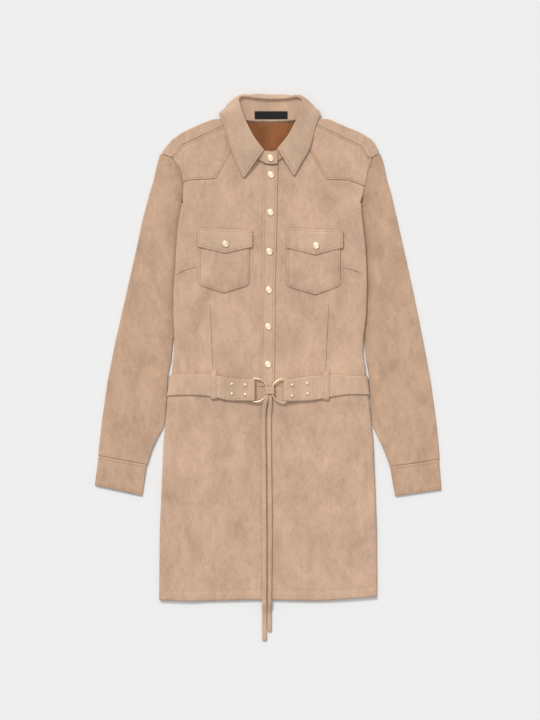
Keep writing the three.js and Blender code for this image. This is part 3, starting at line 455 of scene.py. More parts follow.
# centreX and centreY are the view's middle in plan millimetres, the rest is in metres, watts and radians
studio = dict(viewHeight=1.26, lens=85.0, sensor=36.0, centreX=3.7, centreY=-20.5, floorHalf=6.0,
              floorDrop=0.0004, world=0.5, overheadPlace=(0.0, 0.15, 3.4), overheadSize=1.7,
              overheadPower=12.5, sunPlace=(-0.9, 2.1, 2.2), sun=1.95, sunAngle=0.3)


def aim(obj, target):
    direction = np.array(target) - np.array(obj.location)
    yaw = math.atan2(direction[1], direction[0])
    flat = math.hypot(direction[0], direction[1])
    obj.rotation_euler = (math.pi / 2 + math.atan2(direction[2], flat), 0, yaw - math.pi / 2)


def addLight(data, place, target):
    obj = bpy.data.objects.new(data.name, data)
    obj.location = place
    bpy.context.scene.collection.objects.link(obj)
    aim(obj, target)


lens = bpy.data.cameras.new("camera")
lens.lens, lens.sensor_height, lens.sensor_fit = studio["lens"], studio["sensor"], "VERTICAL"
lens.clip_end = 50
camera = bpy.data.objects.new("camera", lens)
middleX, middleY = (studio["centreX"] + shift[0]) / 1000, (studio["centreY"] + shift[1]) / 1000
camera.location = (middleX, middleY, studio["viewHeight"] * studio["lens"] / studio["sensor"])
bpy.context.scene.collection.objects.link(camera)
bpy.context.scene.camera = camera

floorMesh = bpy.data.meshes.new("floor")
half, drop = studio["floorHalf"], studio["floorDrop"]
floorCorners = [(x * half, y * half, -drop) for x, y in ((-1, -1), (1, -1), (1, 1), (-1, 1))]
floorMesh.from_pydata(floorCorners, [], [(0, 1, 2, 3)])
floorMaterial, floorNodes, floorLinks, floorShader = newMaterial("pale paper")
floorShader.inputs["Base Color"].default_value = linear(236, 236, 236)
floorShader.inputs["Roughness"].default_value = 0.9
floorShader.inputs["Specular IOR Level"].default_value = 0.1
floorMesh.materials.append(floorMaterial)
floor = bpy.data.objects.new("floor", floorMesh)
bpy.context.scene.collection.objects.link(floor)

world = bpy.data.worlds.new("studio")
bpy.context.scene.world = world
world.use_nodes = True
world.node_tree.nodes["Background"].inputs["Color"].default_value = (1.0, 1.0, 1.0, 1)
world.node_tree.nodes["Background"].inputs["Strength"].default_value = studio["world"]
overhead = bpy.data.lights.new("overhead", "AREA")
overhead.shape = "RECTANGLE"
overhead.size, overhead.size_y = studio["overheadSize"], studio["overheadSize"]
overhead.energy = studio["overheadPower"]
addLight(overhead, studio["overheadPlace"], (0.0, studio["overheadPlace"][1] + 0.0001, 0))
window = bpy.data.lights.new("window", "SUN")
window.energy, window.angle = studio["sun"], studio["sunAngle"]
addLight(window, studio["sunPlace"], (0, 0, 0))
bpy.context.scene.view_settings.view_transform = "Standard"  # plain studio colours
print("camera, floor and light set")

# The body's plan: side folds, outline and what lies beneath

cut = dict(cloth=1.2, pitch=1.5, gap=0.3, roll=2.75, backRoll=1.13, tuck=0.3, front=4.9, waist=-67.7,
           yokeSeam=300.0, armTurn=253.0, armpit=190.0, beltThick=2.0, middleLine=2.7, step=2.6, hemDeep=17,
           armPower=0.62)
low = cut["cloth"] / 2
# Columns: y, half width on the left, half width on the right, and how far the side is turned under
sideRows = [(340, 192, 204, 50), (291, 169, 188, 50), (253, 150, 163, 52), (226, 155.6, 165.5, 55),
            (206, 158, 167.5, 56), (179, 160, 171, 56), (139, 162, 173, 52), (103, 165.2, 174, 46),
            (52, 165, 171.5, 36), (17, 164, 167, 27), (-7, 164, 166, 20), (-33, 167, 170, 14),
            (-67, 169, 171, 11), (-100, 176, 177.5, 14), (-160, 182, 184, 28), (-230, 185, 187, 40),
            (-318, 189, 190, 46), (-441, 190, 190.6, 48)]
sideLeft, sideRight = edgePair(sideRows, 8)
turned = line([(r[0], r[3]) for r in sideRows], 8)
hem = line([(-190, -439.4), (-140, -441.4), (-10, -438.7), (91, -440.8), (190.6, -433.3)], 12)
frontTop = line([(-170, 288), (-148.5, 289.6), (-140, 293.5), (-91, 296), (-63, 346), (-50, 366), (-40, 352),
                 (-22, 334), (2.7, 321), (28, 335), (48, 354), (58, 369), (72.6, 346), (102, 294),
                 (140.5, 294), (160, 284), (186, 280)])
# Columns: y and the distance from the middle on the left and on the right, here and in the tables like it
armholeRows = [(340, 186, 194.4), (334, 168, 182.5), (321, 157, 178), (308.5, 151, 174), (288, 148, 169.6),
               (268, 148.6, 165.5), (253, 150, 163)]
armholeLeft, armholeRight = edgePair(armholeRows, 2)
shoulderLeft = line([(-186, 340), (-182, 347), (-168, 364.5), (-149, 377.5), (-117, 392.5), (-95, 400.5),
                     (-50, 402)], 3)
shoulderRight = line([(58, 402), (106, 401), (137, 387), (161, 377.5), (182, 364.5), (191, 351),
                      (194.4, 341)], 3)
forwardLeft = line([(-186, 340), (-168, 333.5), (-160, 341), (-152, 355), (-78, 389), (-52, 392)], 2)
forwardRight = line([(60, 392), (90.5, 389), (163, 354), (176, 332), (183, 334), (194.4, 341)], 2)
backNeck = line([(-50, 398), (-43, 396), (3, 393.4), (52, 396), (58, 398)], 4)
innerRows = [(190, 99, 110), (130, 120, 126), (60, 150, 152), (15, 166, 168.5), (-20, 169, 171.5),
             (-45, 174.6, 176.6), (-90, 176.6, 178.4), (-110, 178.6, 180.2), (-136, 181.6, 183),
             (-160.5, 195, 195), (-178, 203, 203), (-204, 211, 213)]
innerLeft, innerRight = edgePair(innerRows, 4)


def sideEdge(side, y):
    return np.where(np.asarray(side) < 0, sideLeft(y), sideRight(y))


def armhole(side, y):
    return np.where(np.asarray(side) < 0, armholeLeft(y), armholeRight(y))


def rollStart(side, y):
    return sideEdge(side, y) - low - cut["roll"]


def armholeUnder(side, y):
    # the armhole's lower curve runs in under the body by a power of the share of its height
    share = np.clip((y - cut["armpit"]) / (cut["armTurn"] - cut["armpit"]), 0, 1)
    return rollStart(side, y) - turned(cut["armpit"]) * (1 - share ** cut["armPower"])


def innerEdge(side, y):
    y = np.asarray(y, float)
    below = np.where(np.asarray(side) < 0, innerLeft(y), innerRight(y))
    lower = np.where(y > cut["armpit"], armholeUnder(side, y), below)
    return np.where(y > cut["armTurn"], armhole(side, y), lower)


def beneath(x, y):
    # height of the sleeves, the belt's back and the collar's fall under the body, with soft shoulders
    side = np.where(x < 0, -1, 1)
    edge = mix(innerEdge(side, np.minimum(y, cut["armTurn"])), sideEdge(side, y), fade(y, 240, 266))
    sleeve = 2 * cut["pitch"] * fade(y, -20, 20) * smooth((np.abs(x) - edge + 44) / 24)
    sleeve = sleeve * (1 - smooth((y - cut["armTurn"] + 2) / 26))
    belt = (cut["beltThick"] + cut["gap"]) * smooth((58 - np.abs(y - cut["waist"])) / 37)
    fall = (cut["pitch"] + 0.5) * fade(y, 356, 378) * smooth((100 - np.abs(x - 4)) / 16)
    return np.maximum(np.maximum(sleeve, belt), fall)


# Troughs and ridges of the front: start, end, half width, height and sideways bow, all in millimetres
frontFolds = [(118, 270, 134, 60, 17, -1.5, 6), (137, 262, 150, 70, 12, 0.9, 5),
              (150, 235, 158, 70, 10, 0.7, 2), (134, 92, 122, -38, 12, -0.9, -4),
              (139, 70, 152, -34, 9, -0.8, 3), (-145, 20, -158, -42, 7, -1.0, 2),
              (-132, 60, -150, -30, 11, 0.7, -3), (-118, 20, -121, -40, 8, -0.6, 2),
              (-138, 176, -120, 96, 12, -0.55, -5), (-108, 92, -112, -38, 10, 0.5, 2),
              (-60, 62, -58, -42, 15, 0.6, 3), (-78, 20, -82, -44, 8, -0.5, -2),
              (-36, 30, -33, -46, 10, -0.55, 2), (-24, 150, -30, 40, 12, -0.5, 4),
              (34, 92, 40, -44, 11, -0.6, -3), (58, 40, 63, -44, 9, 0.55, 2),
              (84, 62, 82, -42, 11, -0.6, -2), (24, 200, 28, 96, 10, 0.45, -3),
              (22, 320, 24, 214, 9, -0.5, 3), (-26, 318, -22, 210, 10, -0.45, -3),
              (-60, 288, -62, 216, 16, 0.5, 3), (-104, 288, -112, 214, 13, -0.5, 3),
              (70, 284, 76, 214, 14, 0.5, -3), (108, 286, 112, 214, 12, -0.6, 2),
              (-104, -96, -124, -300, 22, 0.9, 9), (-142, -98, -152, -232, 13, -0.8, -4),
              (-164, -110, -168, -258, 9, 0.6, 2), (-62, -96, -66, -226, 17, -0.8, 5),
              (-34, -98, -44, -330, 20, 0.7, -8), (24, -96, 30, -250, 15, -0.7, 5),
              (52, -98, 66, -340, 22, 0.8, 9), (86, -96, 92, -214, 13, -0.85, -4),
              (122, -97, 134, -296, 20, 0.8, 7), (153, -100, 156, -246, 11, -0.75, 3),
              (-128, -250, -134, -432, 24, -0.8, 6), (-82, -236, -84, -436, 26, 0.7, -8),
              (74, -236, 98, -424, 26, -0.8, 7), (20, -232, 30, -434, 22, 0.55, -5),
              (150, -264, 142, -428, 20, 0.7, -5), (0, -160, -12, -300, 18, -0.4, 5)]
# Small pulls beside the left armhole, below the collar points and along the belt
pulls = [(-150, 318, -164, 296, 4.5, -0.7, 2), (-151, 292, -168, 262, 5, -0.8, 3),
         (-148, 268, -158, 236, 5, -0.7, 2), (-146, 250, -128, 214, 7, -0.5, -3),
         (-156, 240, -158, 212, 4, -0.5, 1), (156, 268, 150, 226, 7, -0.55, 2),
         (164, 250, 158, 214, 5, -0.5, -2), (142, 300, 132, 250, 9, -0.45, 3)]


def creases(x, y, rows):
    # sum of height * sin(pi s)^0.7 * exp(-(d / w)^2), with d from the bowed line between the two ends
    total = np.zeros(np.broadcast(x, y).shape)
    for k, (x1, y1, x2, y2, half, height, bow) in enumerate(rows):
        length2 = (x2 - x1) ** 2 + (y2 - y1) ** 2
        s = ((x - x1) * (x2 - x1) + (y - y1) * (y2 - y1)) / length2
        t = np.clip(s, 0, 1)
        wave = np.sin(np.pi * t)
        out = ((x - x1) * (y2 - y1) - (y - y1) * (x2 - x1)) / math.sqrt(length2)
        out = out + bow * wave * (1 + 0.4 * np.sin(5.1 * t + k))
        wide = half * (0.62 + 0.38 * np.sin(2.3 * t * np.pi + 1.7 * k) ** 2)
        beyond = np.where((s < 0) | (s > 1), 0.0, 1.0)
        total = total + height * np.maximum(wave, 0) ** 0.7 * bell(out / wide) * beyond
    return total


def unevenness(x, y):
    # slow swell of cloth that doesn't lie quite flat: four sine sums of unlike directions and lengths
    return (0.28 * np.sin(0.031 * x + 0.011 * y + 0.6) * np.cos(0.019 * y - 0.008 * x)
            + 0.17 * np.sin(0.057 * x - 0.023 * y + 1.9) + 0.13 * np.cos(0.043 * y + 0.05 * x + 2.2)
            + 0.07 * np.sin(0.11 * x + 0.04 * y) * np.sin(0.09 * y - 0.03 * x))


def openFront(x, y):
    # middle height of the front where nothing of its side fold lifts it
    lift = np.minimum(beneath(x, y), 2 * cut["pitch"])
    return cut["front"] + lift - 0.5 * fade(y, 300, 360) + unevenness(x, y)


def levels(x, y):
    # the front and the back between their side folds, where the inner layers lift them towards the sides
    side = np.where(x < 0, -1, 1)
    inside = rollStart(side, y) - np.abs(x) - turned(y)
    folded = 1 - smooth((y - cut["armTurn"]) / 34)
    under = beneath(x, y)
    rise = cut["roll"] + cut["backRoll"] - 0.12
    back = under + low + rise * folded * (1 - fade(inside, 4, 24))
    near = folded * (1 - fade(inside, 4, 49))
    front = mix(openFront(x, y), under + low + 2 * cut["roll"], near)
    return back, np.maximum(front, back + cut["pitch"] + 0.3)


def blurred(values, sigma):
    # Gaussian blur of a plan grid, rows then columns, with its rims repeated
    reach = int(3 * sigma)
    weights = bell(np.arange(-reach, reach + 1) / (sigma * math.sqrt(2)))
    weights /= weights.sum()
    for axis in (0, 1):
        padded = np.concatenate([np.repeat(values.take([0], axis), reach, axis), values,
                                 np.repeat(values.take([-1], axis), reach, axis)], axis)
        count = values.shape[axis]
        values = sum(w * padded.take(np.arange(k, k + count), axis) for k, w in enumerate(weights))
    return values


mapX, mapY, mapStep = np.arange(-220, 221, 2.0), np.arange(-460, 461, 2.0), 2.0
planX, planY = np.meshgrid(mapX, mapY)
frontMap = blurred(levels(planX, planY)[1], 2.5)
stiffMap = blurred(frontMap, 5.0)


def sample(grid, x, y):
    # straight interpolation of a plan grid
    u = np.clip((np.asarray(x, float) - mapX[0]) / mapStep, 0, len(mapX) - 1.001)
    v = np.clip((np.asarray(y, float) - mapY[0]) / mapStep, 0, len(mapY) - 1.001)
    i, j = v.astype(int), u.astype(int)
    a, b = u - j, v - i
    return ((grid[i, j] * (1 - a) + grid[i, j + 1] * a) * (1 - b)
            + (grid[i + 1, j] * (1 - a) + grid[i + 1, j + 1] * a) * b)


def frontHeight(x, y):
    return sample(frontMap, x, y) + creases(x, y, frontFolds) + creases(x, y, pulls)


def stiffHeight(x, y):
    return sample(stiffMap, x, y) + 0.55 * creases(x, y, frontFolds)


print("plan ready")

# Bodice and skirt


def panelTops(side, shares, inset, margin, outline):
    # highest y of each column that is still inside the outline and the armhole, by halving
    lowest, highest = np.full(len(shares), 150.0), np.full(len(shares), 412.0)
    for _ in range(26):
        y = (lowest + highest) / 2
        x = mix(cut["middleLine"], side * (rollStart(side, y) - inset), shares)
        inside = (y < outline(x)) & ((y < cut["armTurn"]) | (np.abs(x) < armhole(side, y) - margin))
        lowest, highest = np.where(inside, y, lowest), np.where(inside, highest, y)
    return lowest


# Where the foot of each stretch of a side is read, the width of the turned strip and its columns
stretch = dict(mainFoot=186.0, foldFoot=188.0, stripWide=48, stripColumns=15)


def bodySide(layer, side, middle, foot, rows, tops=None, step=cut["step"]):
    # Grids of one side: the turned-under strip, the half oval of the side fold and the panel's main part.
    # Fold: x = start + R sin a, z = centre + half cos a, with the heights of both layers it joins.
    front = layer == "front"
    inset = 0.0 if front else cut["tuck"]
    radius = cut["roll"] if front else cut["backRoll"]
    r = np.linspace(0, 1, rows)[:, None]
    shares = np.linspace(0, 1, int(165 / step) + 1)
    armed = tops is not None
    turn = (cut["armTurn"] - (0 if front else 9)) if armed else cut["waist"] - cut["gap"] / 2
    crest = tops(side, shares) if armed else np.full(len(shares), turn)
    crest = np.where(shares > 0.9999, turn, crest)
    xFoot = side * shares * stretch["mainFoot"]
    yMain = mix(foot(xFoot)[None, :], crest[None, :], r)
    xMain = mix(middle, side * (rollStart(side, yMain) - inset), shares[None, :])
    zMain = frontHeight(xMain, yMain) if front else levels(xMain, yMain)[0]
    if front and not armed:
        fromHem = yMain - hem(xMain)
        zMain = zMain - 0.45 * bell((fromHem - cut["hemDeep"]) / 2.4)  # the groove of its stitches
        zMain = zMain + 0.35 * bell((fromHem - 9) / 6) - 0.3 * bell(fromHem / 2)
    if front and armed:
        lap = smooth((yMain - frontTop(xMain) + 1.2) / 1.8) * (np.abs(xMain - 4) > 52)
        zMain = zMain - 1.3 * lap
    angle = np.radians(np.arange(15, 180, 15))[None, :]
    yRoll = mix(foot(np.full(angle.shape, side * stretch["foldFoot"])), turn - 0.5 * armed, r) + 0 * angle
    start = rollStart(side, yRoll) - inset
    high = frontHeight(side * start, yRoll) if front else levels(side * start, yRoll)[0]
    floorLevel = beneath(side * start, yRoll) + low + (0 if front else cut["pitch"])
    xRoll = side * (start + radius * np.sin(angle))
    zRoll = (high + floorLevel) / 2 + (high - floorLevel) / 2 * np.cos(angle)
    part = np.linspace(0, 1, stretch["stripColumns"])[None, :]
    topStrip = turn + 0 * part
    if armed:
        topStrip = mix(cut["armpit"], cut["armTurn"], (1 - part) ** (1 / cut["armPower"]))
    footStrip = foot(side * (stretch["mainFoot"] - stretch["stripWide"] * part))
    yStrip = mix(footStrip, np.minimum(topStrip, turn - 0.5 * armed), r)
    xStrip = side * (rollStart(side, yStrip) - inset - part * turned(yStrip))
    zStrip = beneath(xStrip, yStrip) + low + (0 if front else cut["pitch"])
    grid = np.concatenate([np.stack(g, axis=-1) for g in ((xMain, yMain, zMain), (xRoll, yRoll, zRoll),
                                                          (xStrip, yStrip, zStrip))], axis=1)
    return grid if side > 0 else grid[:, ::-1]


def joinSides(left, right):
    return np.concatenate([left, right[:, 1:]], axis=1)


def frontOutline(x):
    # the front runs 3 mm in under the yokes, and ends at the neckline between them
    return frontTop(x) + 3.0 * (np.abs(x - 4) > 52) - 0.15


def frontTops(side, shares):
    return panelTops(side, shares, 0.0, cut["gap"], frontOutline)


def backTops(side, shares):
    return panelTops(side, shares, cut["tuck"], 2.4, lambda x: cut["yokeSeam"] - 0.15 + 0 * x)


def waistFoot(x):
    return cut["waist"] + cut["gap"] / 2 + 0 * x


def measure(grid):
    # greatest width and height of a grid in metres, and its area
    d1, d2 = np.diff(grid, axis=1)[:-1], np.diff(grid, axis=0)[:, :-1]
    area = np.linalg.norm(np.cross(d1, d2), axis=2).sum() / 1e6
    wide = np.linalg.norm(np.diff(grid, axis=1), axis=2).sum(axis=1).max() / 1000
    high = np.linalg.norm(np.diff(grid, axis=0), axis=2).sum(axis=0).max() / 1000
    return (round(float(wide), 4), round(float(high), 4)), round(min(float(area), 0.99 * wide * high), 6)


def addCloth(name, grid, thick, node, outside, inside=None, tone=None, rimKind=0):
    # a cloth piece settled on the body; the size that it was cut to is measured but not kept
    obj = settle(shell(name, grid, thick, outside, inside, tone, rimKind), node)
    flat, area = measure(grid)


for side, name in ((-1, "left"), (1, "right")):
    grid = bodySide("front", side, cut["middleLine"] + side * cut["gap"] / 2, waistFoot, 150, frontTops)
    addCloth("front_" + name, grid, cut["cloth"], "bodice_front_" + name, suede, knit)
backHalves = [bodySide("back", side, cut["middleLine"], waistFoot, 80, backTops, 5.0) for side in (-1, 1)]
grid = joinSides(*backHalves)
addCloth("back_panel", grid, cut["cloth"], "bodice_back", knit, suede, rimKind=1)
grid = joinSides(*(bodySide("front", side, 0.0, hem, 150) for side in (-1, 1)))
addCloth("skirt_front_panel", grid, cut["cloth"], "skirt_front", suede, knit)
grid = joinSides(*(bodySide("back", side, 0.0, hem, 80, None, 5.0) for side in (-1, 1)))
addCloth("skirt_back_panel", grid, cut["cloth"], "skirt_back", knit, suede, rimKind=1)
print("bodice and skirt made")

# Yokes


def coons(bottom, top, start, end, across, up):
    # patch between four edges: both ruled surfaces less the bilinear one of the four corners
    b, t = walk(bottom, across)[None], walk(top, across)[None]
    s, e = walk(start, up)[:, None], walk(end, up)[:, None]
    u, v = np.linspace(0, 1, across)[None, :, None], np.linspace(0, 1, up)[:, None, None]
    corners = mix(mix(b[:, :1], b[:, -1:], u), mix(t[:, :1], t[:, -1:], u), v)
    flat = mix(b, t, v) + mix(s, e, u) - corners
    return flat[..., 0], flat[..., 1]


def awayFrom(x, y, points):
    # least distance to the straight runs between the points
    nearest = np.full(np.shape(x), 1e6)
    for (x1, y1), (x2, y2) in zip(points[:-1], points[1:]):
        t = np.clip(((x - x1) * (x2 - x1) + (y - y1) * (y2 - y1)) / ((x2 - x1) ** 2 + (y2 - y1) ** 2), 0, 1)
        nearest = np.minimum(nearest, np.hypot(x - x1 - t * (x2 - x1), y - y1 - t * (y2 - y1)))
    return nearest


def sewnEdge(d, inset=3.2, depth=0.34, wide=0.95, rounding=0.4):
    # relief of a stitched edge: a groove at the stitch line, fullness outside it, and the edge rolled down
    return (-depth * bell((d - inset) / wide) + 0.16 * bell((d - 0.5 * inset) / (0.4 * inset))
            - rounding * (1 - smooth(d / 1.3)))


def paintedSeamShade(d, inset=3.2):
    # painted shade: the stitch groove and the rolled edge are painted a little darker
    return 1 - 0.2 * bell((d - inset) / 0.8) - 0.14 * (1 - smooth(d / 1.1))


yokes = {
    "left": dict(bottom=[(-148, 290.2), (-140, 294.1), (-91.2, 296.6), (-63.2, 346.6), (-50.3, 366.6)],
                 top=[(-166.8, 333.6), (-160, 340.6), (-151.6, 354.2), (-78, 388.3), (-52, 391.3)],
                 start=[(-148, 290.2), (-150.8, 308.5), (-157, 321), (-163.4, 329), (-166.8, 333.6)],
                 end=[(-50.3, 366.6), (-52, 380), (-52, 391.3)]),
    "right": dict(bottom=[(58.3, 369.6), (72.9, 346.8), (102.4, 294.8), (140.5, 294.6), (168.9, 284)],
                  top=[(60, 391.3), (90.5, 388.3), (162.6, 353.3), (175.4, 331.9), (181.4, 332.4)],
                  start=[(58.3, 369.6), (60, 385), (60, 391.3)],
                  end=[(168.9, 284), (173.6, 308.5), (177.6, 321), (181.4, 332.4)]),
}
for name, row in yokes.items():
    x, y = coons(row["bottom"], row["top"], row["start"], row["end"], 100, 66)
    foot, crown = awayFrom(x, y, row["bottom"]), awayFrom(x, y, row["top"])
    z = frontHeight(x, y) + 0.2 + 0.45 * np.exp(-foot / 5) + sewnEdge(foot) + 0.5 * sewnEdge(crown)
    grid = np.stack((x, y, z), axis=-1)
    addCloth("yoke_panel_" + name, grid, cut["cloth"], "yoke_front_" + name, suede, knit,
             paintedSeamShade(foot) * paintedSeamShade(crown))

shoulder = dict(roll=1.9)
armFootLeft = line([(148, 268), (151, 308.5), (157, 321), (168, 334), (186, 340)])
armFootRight = line([(165.5, 268), (169.6, 288), (174, 308.5), (178, 321), (182.5, 334), (194.4, 340)])


def backYoke():
    # columns up the back from its seam; outside the neck each goes on over the shoulder in a half round,
    # z = low + R (1 - cos a), and down to the forward seam
    sideX = [np.linspace(-184.4, -51, 54), np.linspace(-48, 56, 36), np.linspace(59, 192.6, 54)]
    rise, over, down = 30, np.radians(np.arange(18, 180, 18)), 16
    parts = []
    for k, x in enumerate(sideX):
        armY = np.where(x < 0, armFootLeft(np.abs(x) + 0.6), armFootRight(np.abs(x) + 0.6))
        foot = np.maximum(cut["yokeSeam"] + 0.15, armY + 0.8)
        if k == 1:
            y = mix(foot, backNeck(x), np.linspace(0, 1, rise + len(over) + down)[:, None])
            parts.append(np.stack((np.broadcast_to(x, y.shape), y, beneath(x, y) + low), axis=-1))
            continue
        crest = (shoulderLeft(x) if k == 0 else shoulderRight(x)) - low - shoulder["roll"]
        end = np.minimum((forwardLeft(x) if k == 0 else forwardRight(x)) + 0.15, crest)
        y1 = mix(np.minimum(foot, crest - 1), crest, np.linspace(0, 1, rise)[:, None])
        base = beneath(x, crest) + low
        y2 = crest + shoulder["roll"] * np.sin(over)[:, None]
        z2 = base + shoulder["roll"] * (1 - np.cos(over))[:, None]
        v = np.linspace(0, 1, down)[:, None]
        y3 = mix(crest, end, v)
        z3 = mix(base + 2 * shoulder["roll"], frontHeight(x, end) + 0.5, smooth(v))
        z3 = z3 + sewnEdge(y3 - end) * (end < crest - 2)
        y = np.concatenate([y1, y2, y3])
        z = np.concatenate([beneath(x, y1) + low, z2, z3])
        parts.append(np.stack((np.broadcast_to(x, y.shape), y, z), axis=-1))
    return np.concatenate(parts, axis=1)


addCloth("back_yoke_panel", backYoke(), cut["cloth"], "yoke_back", knit, suede,
         rimKind=1)
print("yokes made")

# Sleeves

# tone is the depth of the painted shadow on the sleeves beside the body's edge
sleeve = dict(roll=1.4, crown=1.5, topColumns=64, underColumns=18, rows=230, tone=0.42)
cuffSize = dict(deep=54.0, lift=2.8, footStitch=3.5, topStitch=5.0, rows=44)
outerRows = [(340, 187, 195), (329.5, 191, 201), (312, 196, 205), (294.5, 199, 208), (277, 205, 214),
             (224.5, 219, 226), (154.5, 234, 242), (84.5, 250, 257), (14.5, 266, 271), (-55.5, 280, 284),
             (-125.5, 290, 294), (-186.5, 296.6, 300)]
outerLeft, outerRight = edgePair(outerRows, 10)
# Heights of the inner and the outer end of each cross row of the sleeve
sleeveRows = [(333, 338.5), (321, 327), (306, 314), (288, 298), (270, 281), (253, 266), (232, 248),
              (208, 228), (190, 205), (130, 150), (60, 80), (15, 35), (-20, -3), (-60, -42), (-100, -84),
              (-131, -116), (-160.5, -146), (-178, -166)]
cuffs = {-1: dict(innerTop=(-211.5, -203.8), outerTop=(-295.8, -187.9),
                  innerEnd=(-219.8, -257), outerEnd=(-302.6, -239.2)),
         1: dict(innerTop=(213.5, -207.3), outerTop=(299, -194.9),
                 innerEnd=(222.3, -258), outerEnd=(303.4, -246.3))}
# Creases of the sleeves, with the columns of frontFolds
sleeveFolds = [(200, 116, 207, -14, 9, -1.0, 4), (214, 150, 222, 20, 12, 0.8, 5),
               (190, 96, 196, 20, 7, 0.6, 2), (232, 60, 246, -80, 13, -0.8, -5),
               (252, -20, 258, -120, 10, 0.6, 3), (212, -60, 230, -190, 11, -0.8, 4),
               (236, -110, 244, -196, 9, 0.7, -2), (262, -120, 272, -194, 9, -0.7, 2),
               (250, -150, 254, -196, 7, -0.6, 1), (282, -120, 284, -190, 7, 0.6, 1),
               (196, 300, 190, 226, 10, -0.7, -3), (182, 320, 176, 262, 7, -0.6, 2),
               (204, 262, 212, 176, 12, 0.6, 4), (222, 196, 232, 110, 10, -0.6, 3),
               (176, 200, 186, 130, 8, -0.6, 2), (-196, 104, -210, -20, 10, -0.8, -4),
               (-214, 160, -226, 40, 12, 0.7, -4), (-180, 90, -190, 10, 8, 0.6, -2),
               (-236, 70, -252, -60, 12, -0.7, 4), (-206, -40, -226, -186, 12, -0.9, -5),
               (-234, -100, -246, -190, 9, 0.8, 3), (-256, -110, -266, -186, 9, -0.7, -2),
               (-274, -130, -280, -184, 7, 0.6, 1), (-246, -150, -250, -190, 6, -0.6, 1),
               (-186, 306, -180, 236, 9, -0.7, 3), (-172, 322, -164, 262, 7, -0.6, -2),
               (-196, 250, -206, 160, 11, 0.6, -4), (-214, 210, -224, 120, 10, -0.6, -3),
               (-170, 196, -180, 120, 8, -0.6, -2)]


def sleeveGrid(side):
    # Rows from the armhole to the wrist. Top layer from the armhole's edge to the outer fold, a half round
    # of the layers' distance there, and the under layer back to the seam.
    cuff = cuffs[side]
    rows = curveThrough(sleeveRows + [(cuff["innerTop"][1] + 0.8, cuff["outerTop"][1] + 0.7)], sleeve["rows"])
    inner, outer = rows[:, :1], rows[:, 1:]
    seamX = innerEdge(side, inner) + cut["gap"]
    edge = (outerLeft(outer) if side < 0 else outerRight(outer)) - low - sleeve["roll"]
    u = np.linspace(0, 1, sleeve["topColumns"])[None, :]
    x, y = mix(seamX, edge, u), mix(inner, outer, u)
    above = smooth((inner - cut["armTurn"]) / 30)
    seamZ = mix(low + cut["pitch"], frontHeight(side * (seamX - 1), inner) + 0.1, above)
    flatZ = low + 2 * sleeve["roll"]
    bodyEdge = sideEdge(side, np.maximum(y, -120))
    hidden = low + cut["pitch"] + (2 * sleeve["roll"] - cut["pitch"]) * smooth((x - bodyEdge - 1) / 24)
    z = np.where(inner > cut["armTurn"], mix(seamZ, flatZ, smooth((x - seamX) / 34)), hidden)
    clear = np.where(inner > cut["armTurn"], seamX + 2, np.maximum(bodyEdge, seamX + 2))
    w = np.clip((x - clear) / np.maximum(edge - clear, 1), 0, 1)
    near = fade(y, -205, -179) * 0.55 + 0.45
    z = z + near * sleeve["crown"] * np.sin(np.pi * w ** 0.8) ** 1.2
    show = smooth((x - clear) / 9)
    z = z + show * (creases(side * x, y, sleeveFolds) + 0.7 * unevenness(side * x + 90, y))
    angle = np.radians(np.arange(15, 180, 15))[None, :]
    radius = (z[:, -1:] - low) / 2
    xFold, yFold, zFold = edge + radius * np.sin(angle), outer + 0 * angle, low + radius * (1 + np.cos(angle))
    t = np.linspace(0, 1, sleeve["underColumns"])[None, :]
    xUnder, yUnder = mix(edge, seamX, t), mix(outer, inner, t)
    top, fold, under = (np.stack((side * a, b, c), axis=-1) for a, b, c in (
        (x, y, z), (xFold, yFold, zFold), (xUnder, yUnder, low + 0 * xUnder)))
    grid = np.concatenate([top, fold, under], axis=1)
    return grid if side < 0 else grid[::-1]


def cuffGrid(side):
    # a band once round the sleeve's end: under, round the inner fold, over the top, round the outer fold
    cuff = cuffs[side]
    v = np.linspace(0, 1, cuffSize["rows"])[:, None]
    inner = mix(np.array(cuff["innerTop"])[None], np.array(cuff["innerEnd"])[None], v)
    outer = mix(np.array(cuff["outerTop"])[None], np.array(cuff["outerEnd"])[None], v)
    across = unit(outer - inner)
    lift = cuffSize["lift"] + 0.5 * np.sin(np.pi * v) ** 0.6
    begin, end = inner + across * (low + lift / 2), outer - across * (low + lift / 2)
    columns = []

    def flat(u, z):
        columns.append(np.concatenate([mix(begin, end, u), z + 0 * v], axis=1))

    def rounded(place, degrees):
        for a in np.radians(degrees):
            columns.append(np.concatenate([place + across * lift * np.sin(a) / 2,
                                           low + lift * (1 + np.cos(a)) / 2], axis=1))

    for u in np.linspace(0.3, 0, 9):
        flat(u, low)
    rounded(begin, np.arange(-165, 0, 15))
    wave = 0.25 * np.sin(9 * v + side) * np.sin(np.pi * v)
    down = v * cuffSize["deep"]
    up = cuffSize["deep"] - down
    stitched = sewnEdge(up, cuffSize["footStitch"]) + sewnEdge(down, cuffSize["topStitch"], 0.4, 1.0, 0.5)
    for u in np.linspace(0, 1, 56):
        flat(u, low + lift + (wave + 0.3 + stitched) * smooth(min(u, 1 - u) / 0.05))
    rounded(end, np.arange(15, 180, 15))
    for u in np.linspace(1, 0.31, 16):
        flat(u, low)
    grid = np.stack(columns, axis=1)
    # painted shade in the cuff's stitch grooves and at its rolled edges
    tone = np.broadcast_to(paintedSeamShade(up, cuffSize["footStitch"]) * paintedSeamShade(down, cuffSize["topStitch"]),
                           grid.shape[:2])
    return (grid, tone) if side < 0 else (grid[::-1], tone[::-1])


